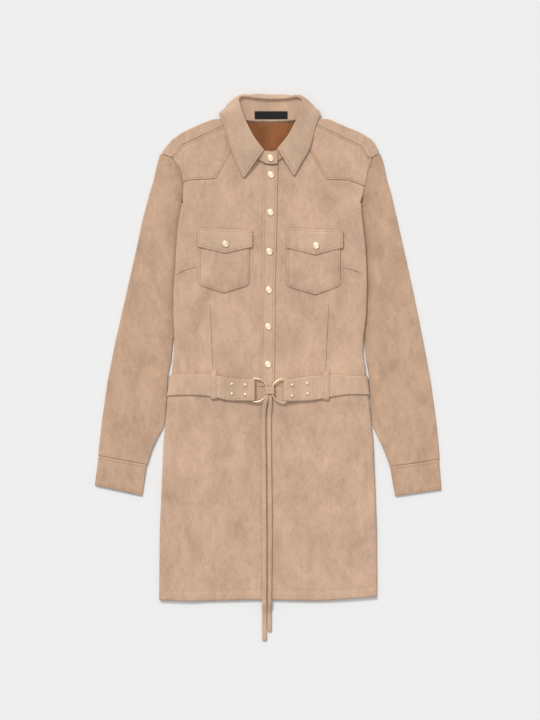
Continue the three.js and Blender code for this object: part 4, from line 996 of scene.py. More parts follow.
for side, name in ((-1, "left"), (1, "right")):
    grid = sleeveGrid(side)
    x, y = grid[..., 0], grid[..., 1]
    # painted shadow: the sleeve is darkened within a few millimetres of the body's edge and the armhole,
    # where the body's fold shades it
    beside = np.where(y > cut["armTurn"], armhole(side, y), sideEdge(side, np.maximum(y, -135)))
    shade = np.exp(-np.maximum(np.abs(x) - beside, 0) / 4.5) * fade(y, -128, -88)
    addCloth("sleeve_panel_" + name, grid, cut["cloth"], "sleeve_" + name, suedeSleeve, knit,
             1 - sleeve["tone"] * shade)
    grid, tone = cuffGrid(side)
    addCloth("cuff_band_" + name, grid, cut["cloth"], "cuff_" + name, suedeSleeve, suedeSleeve, tone)
print("sleeves and cuffs made")

# Stitches and seam lines


def evenly(points, pitch):
    # places at equal lengths along a run of points
    count = max(int(np.linalg.norm(np.diff(points, axis=0), axis=1).sum() / pitch), 2)
    return walk(points, count)


def stitches(name, runs, pitch=3.4, length=2.5, wide=0.62, high=0.5):
    # each stitch is a small spindle: three hoops of six points and two ends, turned along its run
    share, size = np.array([-0.78, 0.0, 0.78]), np.array([0.72, 1.0, 0.72])
    angle = np.radians(np.arange(0, 360, 60))
    template = np.concatenate([
        np.stack([np.repeat(share, 6) * length / 2, (size[:, None] * np.cos(angle) * wide / 2).ravel(),
                  (size[:, None] * np.sin(angle) * high / 2).ravel()], axis=1),
        [[-length / 2, 0, 0], [length / 2, 0, 0]]])
    j = np.arange(6)
    ends = np.concatenate([np.stack([np.full(6, 18), (j + 1) % 6, j], axis=1),
                           np.stack([np.full(6, 19), 12 + j, 12 + (j + 1) % 6], axis=1)])
    faces = [hoopFaces(3, 6, False), ends]
    faces = [f[:, ::-1] for f in faces] if volume(template, faces) < 0 else faces
    places, ahead = [], []
    for run in runs:
        p = evenly(np.asarray(run, float), pitch)
        places.append((p[1:] + p[:-1]) / 2)
        ahead.append(unit(np.diff(p, axis=0)))
    places, ahead = np.concatenate(places), np.concatenate(ahead)
    out = unit(np.cross([0.0, 0.0, 1.0], ahead))
    up = np.cross(ahead, out)
    points = (places[:, None] + template[None, :, :1] * ahead[:, None] + template[None, :, 1:2] * out[:, None]
              + template[None, :, 2:] * up[:, None]).reshape(-1, 3)
    step = (np.arange(len(places)) * len(template))[:, None, None]
    faces = [(f[None] + step).reshape(-1, f.shape[1]) for f in faces]
    settle(toObject(name, points, faces, [thread]))


def draped(points, height, lift, pitch=2.0):
    # a flat run laid on a height function
    p = evenly(np.asarray(points, float), pitch)
    return np.stack([p[:, 0], p[:, 1], height(p[:, 0], p[:, 1]) + lift], axis=1)


def seamLine(name, points, height, wide=1.3, high=0.5, tone=0.45):
    # the pressed line of a dart: a low flat ridge along the seam, painted dark as the seam's shadow
    path = draped(points, height, cut["cloth"] / 2, 1.5)
    swell = np.sin(np.pi * np.linspace(0.02, 0.98, len(path))) ** 0.3
    tones = np.full(8 * len(path) + 2, tone)
    settle(tube(name, path, wide * swell, high, suede, 8, tone=tones))


# Collar: stand and fall

# Columns: x, y and height of the stand's seam, then of its fold, from the right end round to the left one
collarRows = [(16.5, 322, 9.6, 17, 341.5, 10.2), (2, 321.5, 9.4, 3, 343, 10.2),
              (-10, 326, 8.0, -9, 344.5, 10.8), (-22, 334, 7.6, -17, 350.5, 12),
              (-38, 350, 7.6, -29.5, 366, 14), (-49, 368, 7.6, -40, 386, 15.3),
              (-52, 386, 7.8, -48, 408, 15.8), (-49, 398, 7.4, -52, 427, 13.8),
              (-42, 398.5, 5.8, -45, 437, 10.2), (-22, 396.8, 4.5, -21, 435, 8.6),
              (3, 396, 4.3, 3, 433.2, 8.2), (28, 396.8, 4.5, 29, 433.8, 8.6),
              (49, 398.5, 5.8, 52.4, 436.2, 10), (57, 399, 7.4, 62, 426, 13.8),
              (60.5, 388, 7.8, 60, 407, 15.8), (57, 370, 7.6, 50, 386, 15.3), (46, 352, 7.6, 39, 366, 14),
              (31, 337, 7.6, 26, 351.5, 12), (18, 328, 7.2, 15, 345, 9.8), (4, 322.5, 7.0, 4, 342, 8.2),
              (-8, 322.5, 6.8, -8, 340, 7.8)]
# Columns: x, y and height of the fold, of the highest place across, and of the free edge
fallRows = [(-7, 345.5, 13.1, -22, 325, 12.0, -41.5, 297.5, 8.4),
            (-13.5, 353.5, 14.9, -36, 327, 12.2, -45, 302, 8.4),
            (-25, 369.5, 17.0, -46, 345, 12.6, -54.5, 323, 8.4),
            (-35.5, 389, 18.6, -56, 372, 12.8, -65, 348, 8.4),
            (-44, 409, 19.2, -62, 398, 13.5, -75.5, 385, 8.6),
            (-48.5, 424, 18.4, -69, 412, 13, -84, 406.5, 8.4),
            (-50.5, 433, 16.2, -70, 422, 8.5, -83, 410.5, 3.8),
            (-47, 440.3, 13.8, -66, 426, 4.6, -71, 405, 0.6),
            (-22.5, 436.6, 11.4, -25, 437, 3.4, -30, 388, 0.6),
            (3, 434.8, 10.9, 3, 435.4, 3.2, 3, 386, 0.6), (30, 435.4, 11.4, 33, 436, 3.4, 37, 388, 0.6),
            (55, 440.3, 13.8, 73, 426, 4.6, 78, 405, 0.6), (60, 433, 16.2, 77, 423, 8.5, 89.5, 413.5, 3.8),
            (57.5, 424, 18.4, 77, 413, 13, 90.5, 407, 8.4), (55, 409, 19.2, 71, 399, 13.5, 82.5, 386, 8.6),
            (45.5, 389, 18.6, 63, 372, 12.8, 73, 350, 8.4),
            (34.5, 369.5, 17.0, 50, 347, 12.6, 60, 326, 8.4),
            (22.5, 354.5, 14.9, 40, 328, 12.2, 48.5, 305.5, 8.4),
            (16.5, 348, 13.1, 31, 325, 12.0, 45, 301.5, 8.4)]
collarSize = dict(standThick=1.4, fallThick=1.7, stitchIn=4.6, power=1.25)
# Way on past the stand's fold and height there, where the back of the stand rolls over it
standRoll = np.array([(0.25, 1.6), (0.45, 3.0), (0.9, 4.3), (1.7, 4.9), (2.7, 5.0), (3.7, 4.5), (4.5, 3.5)])


def standGrid():
    # from the seam to the fold in straight runs, the height with a power of the share, then over the fold
    p = curveThrough(collarRows, 190)
    v = np.linspace(0, 1, 22)[None, :]
    x, y = mix(p[:, :1], p[:, 3:4], v), mix(p[:, 1:2], p[:, 4:5], v)
    grid = np.stack([x, y, mix(p[:, 2:3], p[:, 5:6], v ** collarSize["power"])], axis=-1)
    ahead = unit(p[:, 3:5] - p[:, 0:2])
    weight = np.maximum(smooth((p[:, 4] - 423) / 11), 0.06)[:, None, None]
    lift = np.broadcast_to(standRoll[None, :, 1:], (len(p), len(standRoll), 1))
    over = np.concatenate([ahead[:, None] * standRoll[None, :, :1], lift], axis=2)
    return p, np.concatenate([grid, grid[:, -1:] + weight * over], axis=1)


def fallGrid():
    # quadratic from the fold over the highest place to the free edge, whose middle is met half-way
    p = curveThrough(fallRows, 220).reshape(-1, 3, 3)
    v = np.linspace(0, 1, 44)[None, :, None]
    fold, out, edge = p[:, None, 0], p[:, None, 1], p[:, None, 2]
    control = 2 * out - (fold + edge) / 2
    return mix(mix(fold, control, v), mix(control, edge, v), v)


standLine, grid = standGrid()
# painted shade: the stand is painted darker along its seam, where it meets the neck
addCloth("collar_stand_band", grid, collarSize["standThick"], "collar_stand", suede, suedeDeep,
         1 - 0.25 * bell(lengthsFrom(grid, 1) / 1.4))
grid = fallGrid()
d = np.minimum(np.minimum(lengthsFrom(grid, 0), lengthsFrom(grid, 0, True)), lengthsFrom(grid, 1, True))
normal = unit(np.cross(slopes(grid)[0], slopes(grid)[1]))
lift = sewnEdge(d, collarSize["stitchIn"], 0.3, 1.0, 0.35) + 0.35 * np.sin(np.clip(d / 20, 0, 1) * np.pi / 2)
fall = grid + normal * lift[..., None]
fall[..., 2] = np.maximum(fall[..., 2], collarSize["fallThick"] / 2 + 0.03)
addCloth("collar_fall_leaf", fall[:, ::-1], collarSize["fallThick"], "collar_fall", suedeBand, suedeBand,
         paintedSeamShade(d, collarSize["stitchIn"])[:, ::-1])


def acrossRims(grid, inset, rowsUsed, thick):
    # the run at a given way in from the free edge, on the upper face
    way = lengthsFrom(grid, 1, True)
    points = []
    for i in rowsUsed:
        k = [np.interp(inset, way[i, ::-1], grid[i, ::-1, c]) for c in range(3)]
        points.append([k[0], k[1], k[2] + thick / 2])
    return np.array(points)


inset = collarSize["stitchIn"]
leftRun = acrossRims(fall, inset, range(4, 70), collarSize["fallThick"])
rightRun = acrossRims(fall, inset, range(150, 216), collarSize["fallThick"])
frontRuns = []
for rim in (0, -1):
    ahead = unit(fall[3 if rim == 0 else -4] - fall[rim])
    run = fall[rim] + ahead * inset + [0, 0, collarSize["fallThick"] / 2]
    frontRuns.append(run[4:39])
stitches("collar_stitches", [leftRun, rightRun, *frontRuns])

behind = (standLine[:, 1] > 396.5) & (np.abs(standLine[:, 0] - 4) < 51)
order = np.argsort(standLine[behind, 0])
backStand = standLine[behind][order]


def standFace(x, y):
    # height of the stand's middle behind the neck
    seamY, seamZ = (np.interp(x, backStand[:, 0], backStand[:, k]) for k in (1, 2))
    foldY, foldZ = (np.interp(x, backStand[:, 3], backStand[:, k]) for k in (4, 5))
    return mix(seamZ, foldZ, np.clip((y - seamY) / (foldY - seamY), 0, 1) ** collarSize["power"])


x, y = np.meshgrid(labelPlan["x"] + labelPlan["wide"] * np.linspace(-0.5, 0.5, 60),
                   labelPlan["y"] + labelPlan["high"] * np.linspace(-0.5, 0.5, 16))
edge = np.minimum(labelPlan["wide"] / 2 - np.abs(x - labelPlan["x"]),
                  labelPlan["high"] / 2 - np.abs(y - labelPlan["y"]))
z = standFace(x, y) + collarSize["standThick"] / 2 + 0.25 + labelPlan["thick"] / 2 + 0.25 * smooth(edge / 3)
ribbon = shell("label_ribbon", np.stack([x, y, z], axis=-1), labelPlan["thick"], blackSatin)
settle(ribbon, "neck_label")
print("collar and label made")

# Placket, pockets and flaps

placket = dict(foot=-66.5, top=319.5, stitchIn=3.4, rows=230, columns=26)
placketRows = [(319.5, -8, 17.2), (294, -7.7, 16.8), (163, -9.5, 14.2), (119, -10, 12.8), (-47, -12, 11.4),
               (-66.5, -12.2, 11.4)]
placketLeft, placketRight = edgePair(placketRows, 10)


def placketHeight(x, y):
    # above the front's middle line, with two slow waves along it and a short one across
    wave = 0.25 * np.sin(y / 19.0) * np.sin(y / 47.0 + 1) + 0.12 * np.sin(y / 7.3 + x / 9)
    under = np.maximum(stiffHeight(x, y), stiffHeight(cut["middleLine"] + 0 * x, y))
    return under + cut["pitch"] + 0.35 + wave


def placketRelief(x, y):
    d = np.minimum(np.minimum(x - placketLeft(y), placketRight(y) - x), y - placket["foot"])
    return placketHeight(x, y) + sewnEdge(d, placket["stitchIn"])


y = np.linspace(placket["foot"], placket["top"], placket["rows"])[:, None] + np.zeros(placket["columns"])
x = mix(placketLeft(y), placketRight(y), np.linspace(0, 1, placket["columns"])[None, :])
d = np.minimum(x - placketLeft(y), placketRight(y) - x)
grid = np.stack([x, y, placketRelief(x, y)], axis=-1)
addCloth("placket_band", grid, cut["cloth"] + 0.3, "placket", suedeBand, suedeBand,
         paintedSeamShade(d, placket["stitchIn"]))
stitchLift = cut["cloth"] / 2 + 0.12
y = np.linspace(-62, 317, 150)
runs = []
for x in (placketLeft(y) + placket["stitchIn"], placketRight(y) - placket["stitchIn"]):
    runs.append(np.stack([x, y, placketRelief(x, y) + stitchLift + 0.15], axis=1))
stitches("placket_stitches", runs)

pocketCuts = {
    "left": dict(left=-120.8, right=-33, foot=109, tip=96.6, tipX=-76.5, topLeft=196, topRight=195),
    "right": dict(left=33, right=126, foot=107, tip=93.6, tipX=83, topLeft=195, topRight=196)}
flapCuts = {
    "left": dict(left=-122, right=-27, foot=177, tip=166, tipX=-75, top=207),
    "right": dict(left=33.5, right=131, foot=175.5, tip=163, tipX=83, top=207)}
pocketStitch, flapStitch, flapCrownStitch = 3.1, 3.3, 3.0


def pocketPatch(cutting):
    # outline with rounded foot corners, its grid, and the height of the padded patch over it
    left, right, foot = cutting["left"], cutting["right"], cutting["foot"]
    rim = [(left, cutting["topLeft"]), (left, foot + 8), (left + 1, foot + 4), (left + 3.6, foot + 1),
           (left + 8, foot - 1.2), (cutting["tipX"], cutting["tip"]), (right - 8, foot - 1.2),
           (right - 3.6, foot + 1), (right - 1, foot + 4), (right, foot + 8), (right, cutting["topRight"])]
    x, y = coons(rim[1:-1], [rim[0], rim[-1]], [rim[1], rim[0]], [rim[-2], rim[-1]], 76, 80)

    def height(a, b):
        d = awayFrom(a, b, rim)
        return (stiffHeight(a, b) + cut["pitch"] + 0.35 + 0.75 * smooth(d / 16) + sewnEdge(d, pocketStitch)
                + 0.3 * np.sin((a + b) / 21) * smooth(d / 20))
    return rim, x, y, height


def flapPatch(cutting):
    # outline, its grid, and the height over the pocket, which sinks to the front at the flap's seam
    left, right, top = cutting["left"], cutting["right"], cutting["top"]
    rim = [(left, top + 2), (left, cutting["foot"]), (cutting["tipX"], cutting["tip"]),
           (right, cutting["foot"]), (right, top - 2)]
    x, y = coons(rim[1:4], [rim[0], rim[4]], [rim[1], rim[0]], [rim[3], rim[4]], 84, 40)

    def height(a, b):
        d = awayFrom(a, b, rim)
        crown = awayFrom(a, b, [rim[0], rim[4]])
        body = stiffHeight(a, b) + 2 * cut["pitch"] + 1.25 - 1.2 * (1 - smooth(crown / 7))
        atFoot = smooth((22 - np.abs(b - cutting["foot"])) / 22)
        swell = 0.5 * smooth(d / 14) + 0.35 * np.sin(a / 11.0) * atFoot
        return body + swell + sewnEdge(d, flapStitch) + sewnEdge(crown, flapCrownStitch, 0.3, 0.9, 0.5)
    return rim, x, y, height


flapHeights = {}
for side, cutting in pocketCuts.items():
    rim, x, y, height = pocketPatch(cutting)
    grid = np.stack([x, y, height(x, y)], axis=-1)
    addCloth("pocket_patch_" + side, grid, cut["cloth"], "pocket_" + side, suede, suede,
             paintedSeamShade(awayFrom(x, y, rim), pocketStitch))
    left, right, foot = cutting["left"] + pocketStitch, cutting["right"] - pocketStitch, cutting["foot"]
    inner = [(left, cutting["topLeft"] - 14), (left, foot + 8), (left + 3, foot + 3.4),
             (left + 6, foot + 1.8), (cutting["tipX"], cutting["tip"] + 1.05 * pocketStitch),
             (right - 6, foot + 1.8), (right - 3, foot + 3.4), (right, foot + 8),
             (right, cutting["topRight"] - 14)]
    stitches("pocket_stitches_" + side, [draped(inner, height, stitchLift)])
for side, cutting in flapCuts.items():
    rim, x, y, height = flapPatch(cutting)
    flapHeights[side] = height
    tone = (paintedSeamShade(awayFrom(x, y, rim), flapStitch)
            * paintedSeamShade(awayFrom(x, y, [rim[0], rim[4]]), flapCrownStitch))
    grid = np.stack([x, y, height(x, y)], axis=-1)
    addCloth("flap_patch_" + side, grid, cut["cloth"] + 0.2, "flap_" + side, suedeBand, suedeBand, tone)
    inward = [(flapStitch, -3), (flapStitch, 0.8 * flapStitch), (0, 1.05 * flapStitch),
              (-flapStitch, 0.8 * flapStitch), (-flapStitch, -3)]
    inner = np.array(rim) + inward
    crown = [(rim[0][0] + 1.5, rim[0][1] - 3.0), (rim[4][0] - 1.5, rim[4][1] - 3.0)]
    stitches("flap_stitches_" + side, [draped(inner, height, stitchLift + 0.1),
                                       draped(crown, height, stitchLift + 0.1)])
print("placket, pockets and flaps made")

# Belt and its loops

belt = dict(thick=2.0, gap=0.5, wire=1.4, bars={-1: -25.5, 1: 31.0}, foldBack=48.0, columns=26,
            stitchIn=3.4, sideAt=168.0, sideOut=2.2)
# Columns: x and the y of the upper and the lower edge
beltRows = [(-178, -52, -84), (-166, -46.5, -81.5), (-129, -45, -81), (-96, -46, -84), (-69, -52.8, -91),
            (-29, -55, -91), (30, -56.4, -91.8), (76, -49, -91), (107, -46, -85), (139, -48, -80),
            (168, -49.5, -80), (181, -50, -81)]
beltTop, beltFoot = edgePair(beltRows, 9)
barRoll = belt["wire"] + cut["gap"] + belt["thick"] / 2


def beltOver(x, y):
    # height of the belt's middle where it lies on the front, from heights near the belt alone
    y = np.clip(y, -100, -40)
    return stiffHeight(x, y) + 0.35 + low + belt["gap"] + belt["thick"] / 2


def endLevel(side):
    # height of the folded-back end, above the highest place under its first 20 mm
    bar = belt["bars"][side]
    x, y = np.meshgrid(bar + side * np.array([0, 10.0, 20]), np.array([-94, -84, -74, -64, -53.0]))
    return float(beltOver(x, y).max())


def beltLift(far):
    # how far the belt's upper layer is above its folded-back end
    return mix(2 * barRoll, belt["thick"] + 0.5, smooth(far / 28))


def beltEndHeight(side, x, y):
    # height of the upper layer over the folded-back end
    bar = belt["bars"][side]
    far = side * (x - bar)
    return mix(endLevel(side), beltOver(x, y), fade(far, 12, 42)) + beltLift(far)


def beltHalf(side):
    # rows from the folded-back end round the ring's bar, over the front and round the side fold
    bar = belt["bars"][side]
    v = np.linspace(0, 1, belt["columns"])[None, :]
    parts = []

    def add(x, y, z):
        parts.append(np.stack(np.broadcast_arrays(x, y, z), axis=-1))

    far = np.linspace(belt["foldBack"], 0, 20)[:, None]
    x = bar + side * far
    y = mix(beltFoot(x), beltTop(x), v)
    add(x, y, mix(endLevel(side), beltOver(x, y), fade(far, 12, 42)))
    a = np.radians(np.arange(165, 0, -15))[:, None]
    y = mix(beltFoot(bar), beltTop(bar), v)
    add(bar - side * barRoll * np.sin(a), y, endLevel(side) + barRoll * (1 + np.cos(a)))
    far = np.linspace(0, 58, 30)[:, None]
    x = bar + side * far
    y = mix(beltFoot(x), beltTop(x), v)
    edge = np.minimum(v, 1 - v) * 36
    wear = -0.35 * (1 - smooth(edge / 1.6))
    pressed = 0.3 * bell((far - 3.2) / 1.0) + 0.25 * bell((far - 49.5) / 1.6)
    add(x, y, beltEndHeight(side, x, y) + wear - pressed)
    x = np.linspace(bar + side * 60, side * 161, 62)[:, None]
    y = mix(beltFoot(x), beltTop(x), v)
    hold = smooth((np.abs(x - bar) - 58) / 16)
    sag = 0.5 * np.sin(x / 13.0 + 1.3 * v) * (0.3 + 0.7 * v)
    sag = sag + 0.3 * np.sin(x / 5.3) * bell((np.abs(x) - 98) / 16)
    add(x, y, mix(beltEndHeight(side, x, y), beltOver(x, y) + 0.25 + 0.5 * sag, hold) + wear)
    a = np.radians(np.arange(0, 181, 12))[:, None]
    y = mix(beltFoot(side * belt["sideAt"]), beltTop(side * belt["sideAt"]), v)
    start = rollStart(side, y)
    high = frontHeight(side * start, y) + low + belt["gap"] + belt["thick"] / 2 + 0.35
    base = belt["thick"] / 2
    out = cut["roll"] + low + cut["gap"] + belt["thick"] / 2 + belt["sideOut"]
    add(side * (start + out * np.sin(a)), y, (high + base) / 2 + (high - base) / 2 * np.cos(a))
    return np.concatenate(parts)


x = np.linspace(-150, 150, 50)[:, None]
y = mix(-84, -50.5, np.linspace(0, 1, belt["columns"])[None, :])
back = np.stack(np.broadcast_arrays(x, y, belt["thick"] / 2), axis=-1)
grid = np.concatenate([beltHalf(-1), back, beltHalf(1)[::-1]])
addCloth("belt_strap", grid, belt["thick"], "belt", suedeBand, suedeBand)
beltStitch = belt["thick"] / 2 + 0.12
runs = []
for side, ends in ((-1, (3.3, 49.6)), (1, (3.0, 46.5))):
    bar = belt["bars"][side]
    for far in ends:
        x = bar + side * far
        y = np.linspace(float(beltFoot(x)) + 1.5, float(beltTop(x)) - 1.5, 30)
        runs.append(np.stack([x + 0 * y, y, beltEndHeight(side, x + 0 * y, y) + beltStitch - 0.2], axis=1))
    x = bar + side * np.linspace(ends[0], ends[1], 60)
    for rimLine, step in ((beltFoot, belt["stitchIn"]), (beltTop, -belt["stitchIn"])):
        y = rimLine(x) + step
        runs.append(np.stack([x, y, beltEndHeight(side, x, y) + beltStitch - 0.05], axis=1))
stitches("belt_stitches", runs)

loop = dict(half=5, stitchAt=3)
# Columns: name, and the x of the middle, the upper end and the lower end of each loop
loopRows = [("left", -94.3, -38, -89.5), ("right", 101.5, -39, -91.5)]
for name, middle, top, foot in loopRows:
    v, w = np.linspace(0, 1, 64)[:, None], np.linspace(-loop["half"], loop["half"], 14)[None, :]
    x, y = middle + w + 0 * v, mix(foot, top, v) + 0 * w
    over = smooth((y - beltFoot(middle) + 4.6) / 2.6) * (1 - smooth((y - beltTop(middle) - 1.4) / 2.6))
    high = beltOver(x, y) + belt["thick"] / 2 + 1.75
    flat = frontHeight(x, y) + cut["pitch"] + 0.25
    rim = loop["half"] - np.abs(w)
    beside = np.abs(w) - loop["stitchAt"]
    z = mix(flat, np.maximum(high, flat), over) - 0.35 * (1 - smooth(rim / 1.2)) - 0.25 * bell(beside / 0.8)
    # painted shade in the stitch grooves inside the loop's edges
    addCloth("belt_loop_band_" + name, np.stack([x, y, z], axis=-1), cut["cloth"] + 0.3, "belt_loop_" + name,
             suedeBand, suedeBand, 1 - 0.2 * bell(beside / 0.7) + 0 * v)
print("belt made")

# Snaps and studs


def turnedPiece(name, node, profile, place, normal, around=44):
    # a profile of radius and height turned about the normal at a place, closed at its poles
    r, h = np.array(profile, float).T
    angle = 2 * np.pi * np.arange(around) / around
    side = unit(np.cross(normal, [0.0, 1.0, 0.3]))
    other = np.cross(normal, side)
    outward = np.cos(angle)[None, :, None] * side + np.sin(angle)[None, :, None] * other
    hoops = place + r[1:-1, None, None] * outward + h[1:-1, None, None] * normal
    count = len(r) - 2
    points = np.concatenate([hoops.reshape(-1, 3), [place + h[0] * normal], [place + h[-1] * normal]])
    j = np.arange(around)
    last = (count - 1) * around
    lowFan = np.stack([np.full(around, count * around), (j + 1) % around, j], axis=1)
    highFan = np.stack([np.full(around, count * around + 1), last + j, last + (j + 1) % around], axis=1)
    faces = [hoopFaces(count, around, False), np.concatenate([lowFan, highFan])]
    faces = [f[:, ::-1] for f in faces] if volume(points - place, faces) < 0 else faces
    settle(toObject(name, points, faces, [goldMetal]), node)


def seated(height, x, y, lift):
    # place and normal of something that sits on a height function
    reach = 4.0
    slopeX = (height(x + reach, y) - height(x - reach, y)) / (2 * reach)
    slopeY = (height(x, y + reach) - height(x, y - reach)) / (2 * reach)
    normal = unit(np.array([-float(slopeX), -float(slopeY), 1.0]))
    return np.array([x, y, float(height(x, y))]) + normal * lift, normal


capRadius = 6.1
# Way in from the rim and height: a rolled rim with a groove inside it and a slightly domed middle
capRows = [(1.4, 0), (0.5, 0.1), (0.1, 0.5), (0, 0.95), (0.12, 1.35), (0.45, 1.7), (0.9, 1.86), (1.25, 1.82),
           (1.5, 1.66), (1.75, 1.64), (2.0, 1.74), (2.6, 1.84), (3.6, 1.92), (4.8, 1.97)]
snapProfile = [(0, 0)] + [(capRadius - inward, height) for inward, height in capRows] + [(0, 2.0)]
snapPlaces = [(4.6, 332), (5.3, 303), (4.4, 237.5), (2.6, 169), (1.6, 102), (0.7, 38), (0.2, -28)]


def standFront(x, y):
    # height of the stand's closed front ends
    return mix(9.4, 10.2, (y - 321.5) / 21.5) + 0 * x


snapLift = cut["cloth"] / 2 + 0.25
for k, (x, y) in enumerate(snapPlaces):
    place, normal = seated(standFront if k == 0 else placketHeight, x, y, snapLift)
    turnedPiece("snap_cap_%d" % (k + 1), "snap_%d" % (k + 1), snapProfile, place, normal)
for side, cutting in flapCuts.items():
    place, normal = seated(flapHeights[side], cutting["tipX"] + 1, cutting["tip"] + 16, snapLift)
    turnedPiece("snap_cap_flap_" + side, "snap_flap_" + side, snapProfile, place, normal)
studProfile = [(0, 0), (2.7, 0), (3.0, 0.3), (3.0, 0.7), (2.75, 1.15), (2.3, 1.55), (1.6, 1.85), (0.8, 2.0),
               (0, 2.05)]
studPlaces = [(-62.5, -62.8), (-39.4, -64.1), (-62.5, -79.5), (-39.7, -80.9),
              (42.5, -64.1), (68.3, -61.6), (42.5, -83.1), (69.5, -79.5)]
for k, (x, y) in enumerate(studPlaces):
    side = -1 if x < 0 else 1
    place, normal = seated(lambda a, b: beltEndHeight(side, a, b), x, y, belt["thick"] / 2)
    turnedPiece("stud_cap_%d" % (k + 1), "stud_%d" % (k + 1), studProfile, place, normal, 28)

# Rings and tie

ring = dict(radius=20.5, straight=0.38, reach=3.8, wire=1.4)
tie = dict(x=3.0, top=-66.0, foot=-80.0, thick=2.0, half=5.6, strandHigh=3.6)
wireTie = ring["wire"] + cut["gap"] + tie["thick"] / 2
ringHigh = float(placketHeight(np.array(3.0), np.array(-70.0))) + low + cut["gap"] + tie["thick"] / 2
ringHigh = ringHigh + wireTie + 0.4
# each ring runs up its straight bar, then round its bow, whose corners are softened by averaging
for side, y, name in ((-1, -73.0, "left"), (1, -74.0, "right")):
    bar = belt["bars"][side]
    lowZ = endLevel(side) + barRoll
    t = np.arange(240) / 240
    straight = t < ring["straight"]
    angle = np.pi * (t - ring["straight"]) / (1 - ring["straight"])
    far = ring["reach"] * np.minimum(1, 4 * np.sin(angle)) + ring["radius"] * np.sin(angle)
    along = np.where(straight, 2 * t / ring["straight"] - 1, np.cos(angle))
    rise = mix(lowZ, ringHigh, far / (ring["radius"] + ring["reach"]))
    path = np.stack([np.where(straight, bar, bar - side * far), y + ring["radius"] * along,
                     np.where(straight, lowZ, rise)], axis=1)
    for _ in range(5):
        path = (np.roll(path, 1, axis=0) + 2 * path + np.roll(path, -1, axis=0)) / 4
    obj = tube("belt_ring_" + name, path, 2 * ring["wire"], 2 * ring["wire"], goldMetal, 18, True)
    settle(obj, "ring_" + name)


def tieWrap():
    # the lace's turn round both rings: a race-track section carried across the lace's width
    angle = 2 * np.pi * np.arange(72) / 72
    c, s = np.cos(angle), np.sin(angle)
    v = np.linspace(-1, 1, 15)
    across = np.concatenate([v, v[::-1]])
    outer = np.concatenate([np.ones(15), -np.ones(15)])
    swell = np.sqrt(np.maximum(1 - np.abs(across) ** 4, 0)) * 0.42 + 0.58 * (np.abs(across) < 0.99)
    radius = wireTie + 0.5 * tie["thick"] * outer * swell + 0.16 * np.sin(5 * across) * (outer > 0)
    shiftX = tie["half"] * np.tanh(4 * c) - 0.6 * c
    x = tie["x"] + shiftX[:, None] + radius[None, :] * c[:, None]
    z = ringHigh + radius[None, :] * s[:, None]
    y = (tie["top"] + tie["foot"]) / 2 + across[None, :] * (tie["top"] - tie["foot"]) / 2 + 0 * x
    points = np.stack([x, y, z], axis=-1).reshape(-1, 3)
    faces = [hoopFaces(72, 30, True)]
    faces = [f[:, ::-1] for f in faces] if volume(points, faces) < 0 else faces
    return toObject("tie_wrap", points, faces, [suede])


settle(tieWrap(), "tie_loop")

# Rows of each strand: x, y and width
strands = {
    "left": dict(length=0.430, wide=8.0, rows=[
        (0.8, -81, 3.2), (-1.6, -88, 5.6), (-4.8, -96, 8), (-7, -108, 8), (-8, -125, 8), (-7.6, -165, 8),
        (-7, -205, 8), (-6.6, -250, 8), (-6.2, -300, 8), (-6, -350, 8), (-6, -400, 8), (-6, -430, 8),
        (-6, -446, 8), (-6, -458, 8), (-6, -475, 8), (-6, -510.5, 8)]),
    "right": dict(length=0.414, wide=7.0, rows=[
        (4.4, -81, 3.5), (4.6, -88, 6), (4.2, -96, 7), (3.4, -108, 7), (2.4, -125, 7), (2.6, -165, 7),
        (3, -205, 7), (3.6, -250, 7), (4, -300, 7), (3.8, -350, 7), (3.4, -400, 7), (3.2, -430, 7),
        (3, -446, 7), (3, -458, 7), (3, -475, 7), (3, -494.7, 7)]),
}


def strandHeight(x, y):
    # on the skirt, up to the wrap at the top and down to the floor past the hem
    lying = stiffHeight(x, np.maximum(y, -438)) + low + cut["gap"] + tie["strandHigh"] / 2 + 0.4
    fromWrap = mix(lying, ringHigh - 0.6, fade(y, -104, -82))
    drop = mix(lying, tie["strandHigh"] / 2 + 0.05, smooth((-442 - y) / 22))
    return np.where(y < -442, drop, np.maximum(lying, fromWrap))


for name, row in strands.items():
    rows = curveThrough(row["rows"], 300)
    path = np.stack([rows[:, 0], rows[:, 1], strandHeight(rows[:, 0], rows[:, 1])], axis=1)
    high = tie["strandHigh"] * (0.62 + 0.38 * smooth(rows[:, 2] / 6))
    obj = tube("tie_strand_" + name, path, rows[:, 2], high, suede, 20, power=0.6)
    settle(obj, "tie_" + name)
    way = [tuple(((p + shift) / 1000).tolist()) for p in (*path[::10], path[-1])]
print("metal and tie made")

# Darts, hem and the long seams' stitches

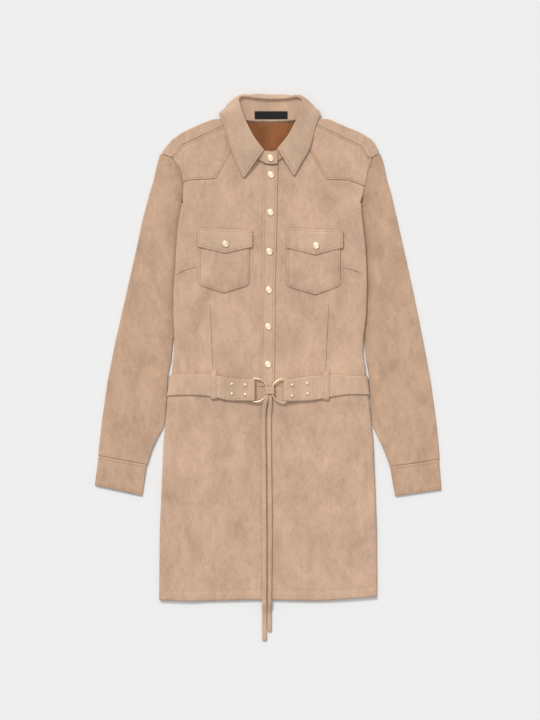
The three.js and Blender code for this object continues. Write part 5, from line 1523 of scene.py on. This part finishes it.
dartLines = {
    "bust_left": [(-160, 128), (-145, 136), (-125, 142)],
    "bust_right": [(163.5, 131), (146, 137), (129, 141)],
    "waist_left": [(-101, 75), (-98.5, 20), (-96, -39)],
    "waist_right": [(106.6, 79), (103.6, 20), (101, -42)],
}
for name, points in dartLines.items():
    seamLine("dart_" + name, points, frontHeight)
clothLift = cut["cloth"] / 2 + 0.1
runs = []
# Steps in from each corner of the yoke's lower edge, and its run along the forward seam
yokeInward = {"left": [(0.5, 3.2), (0.5, 3.2), (-1.8, 3.0), (-3.0, 1.6), (-2.5, 1.5)],
              "right": [(2.5, 1.5), (3.0, 1.6), (1.8, 3.0), (-0.5, 3.2), (-0.5, 3.2)]}
yokeCrown = {"left": slice(2, None), "right": slice(None, 3)}
for name, row in yokes.items():
    foot = np.array(row["bottom"], float) + yokeInward[name]
    runs.append(draped(foot, lambda a, b: frontHeight(a, b) + 0.25, clothLift))
    crown = np.array(row["top"][yokeCrown[name]], float) - [0, 3.2]
    runs.append(draped(crown, lambda a, b: frontHeight(a, b) + 0.2, clothLift))
stitches("yoke_stitches", runs)
x = np.linspace(-184, 184, 220)
y = hem(x) + cut["hemDeep"]
stitches("hem_stitches", [np.stack([x, y, frontHeight(x, y) + clothLift - 0.3], axis=1)], 3.8)
y = np.linspace(288, 352, 40)
runs = []
for x in (np.interp(y, [288, 352], [-144.5, -150.5]), np.interp(y, [286, 352], [160, 163])):
    runs.append(np.stack([x, y, frontHeight(x, y) + clothLift + 0.15], axis=1))
stitches("armhole_stitches", runs)
for side, name in ((-1, "left"), (1, "right")):
    grid, _ = cuffGrid(side)
    grid = grid if side < 0 else grid[::-1]
    way = lengthsFrom(grid, 0)
    runs = []
    for inset in (cuffSize["topStitch"], float(way[-1, 45]) - cuffSize["footStitch"]):
        run = [[np.interp(inset, way[:, j], grid[:, j, c]) for c in range(3)] for j in range(22, 72)]
        runs.append(np.array(run) + [0, 0, clothLift])
    stitches("cuff_stitches_" + name, runs)
print("darts and stitches made")

# Every carried-over CAD node gets its finish as well
for item in bpy.data.objects:
    if item.type == "MESH" and item.name in frame["nodes"]:
        metal = item.name.startswith(("snap", "stud", "ring"))
        finish = goldMetal if metal else blackSatin if item.name == "neck_label" else suede
        for slotIn in item.material_slots:
            slotIn.material = finish
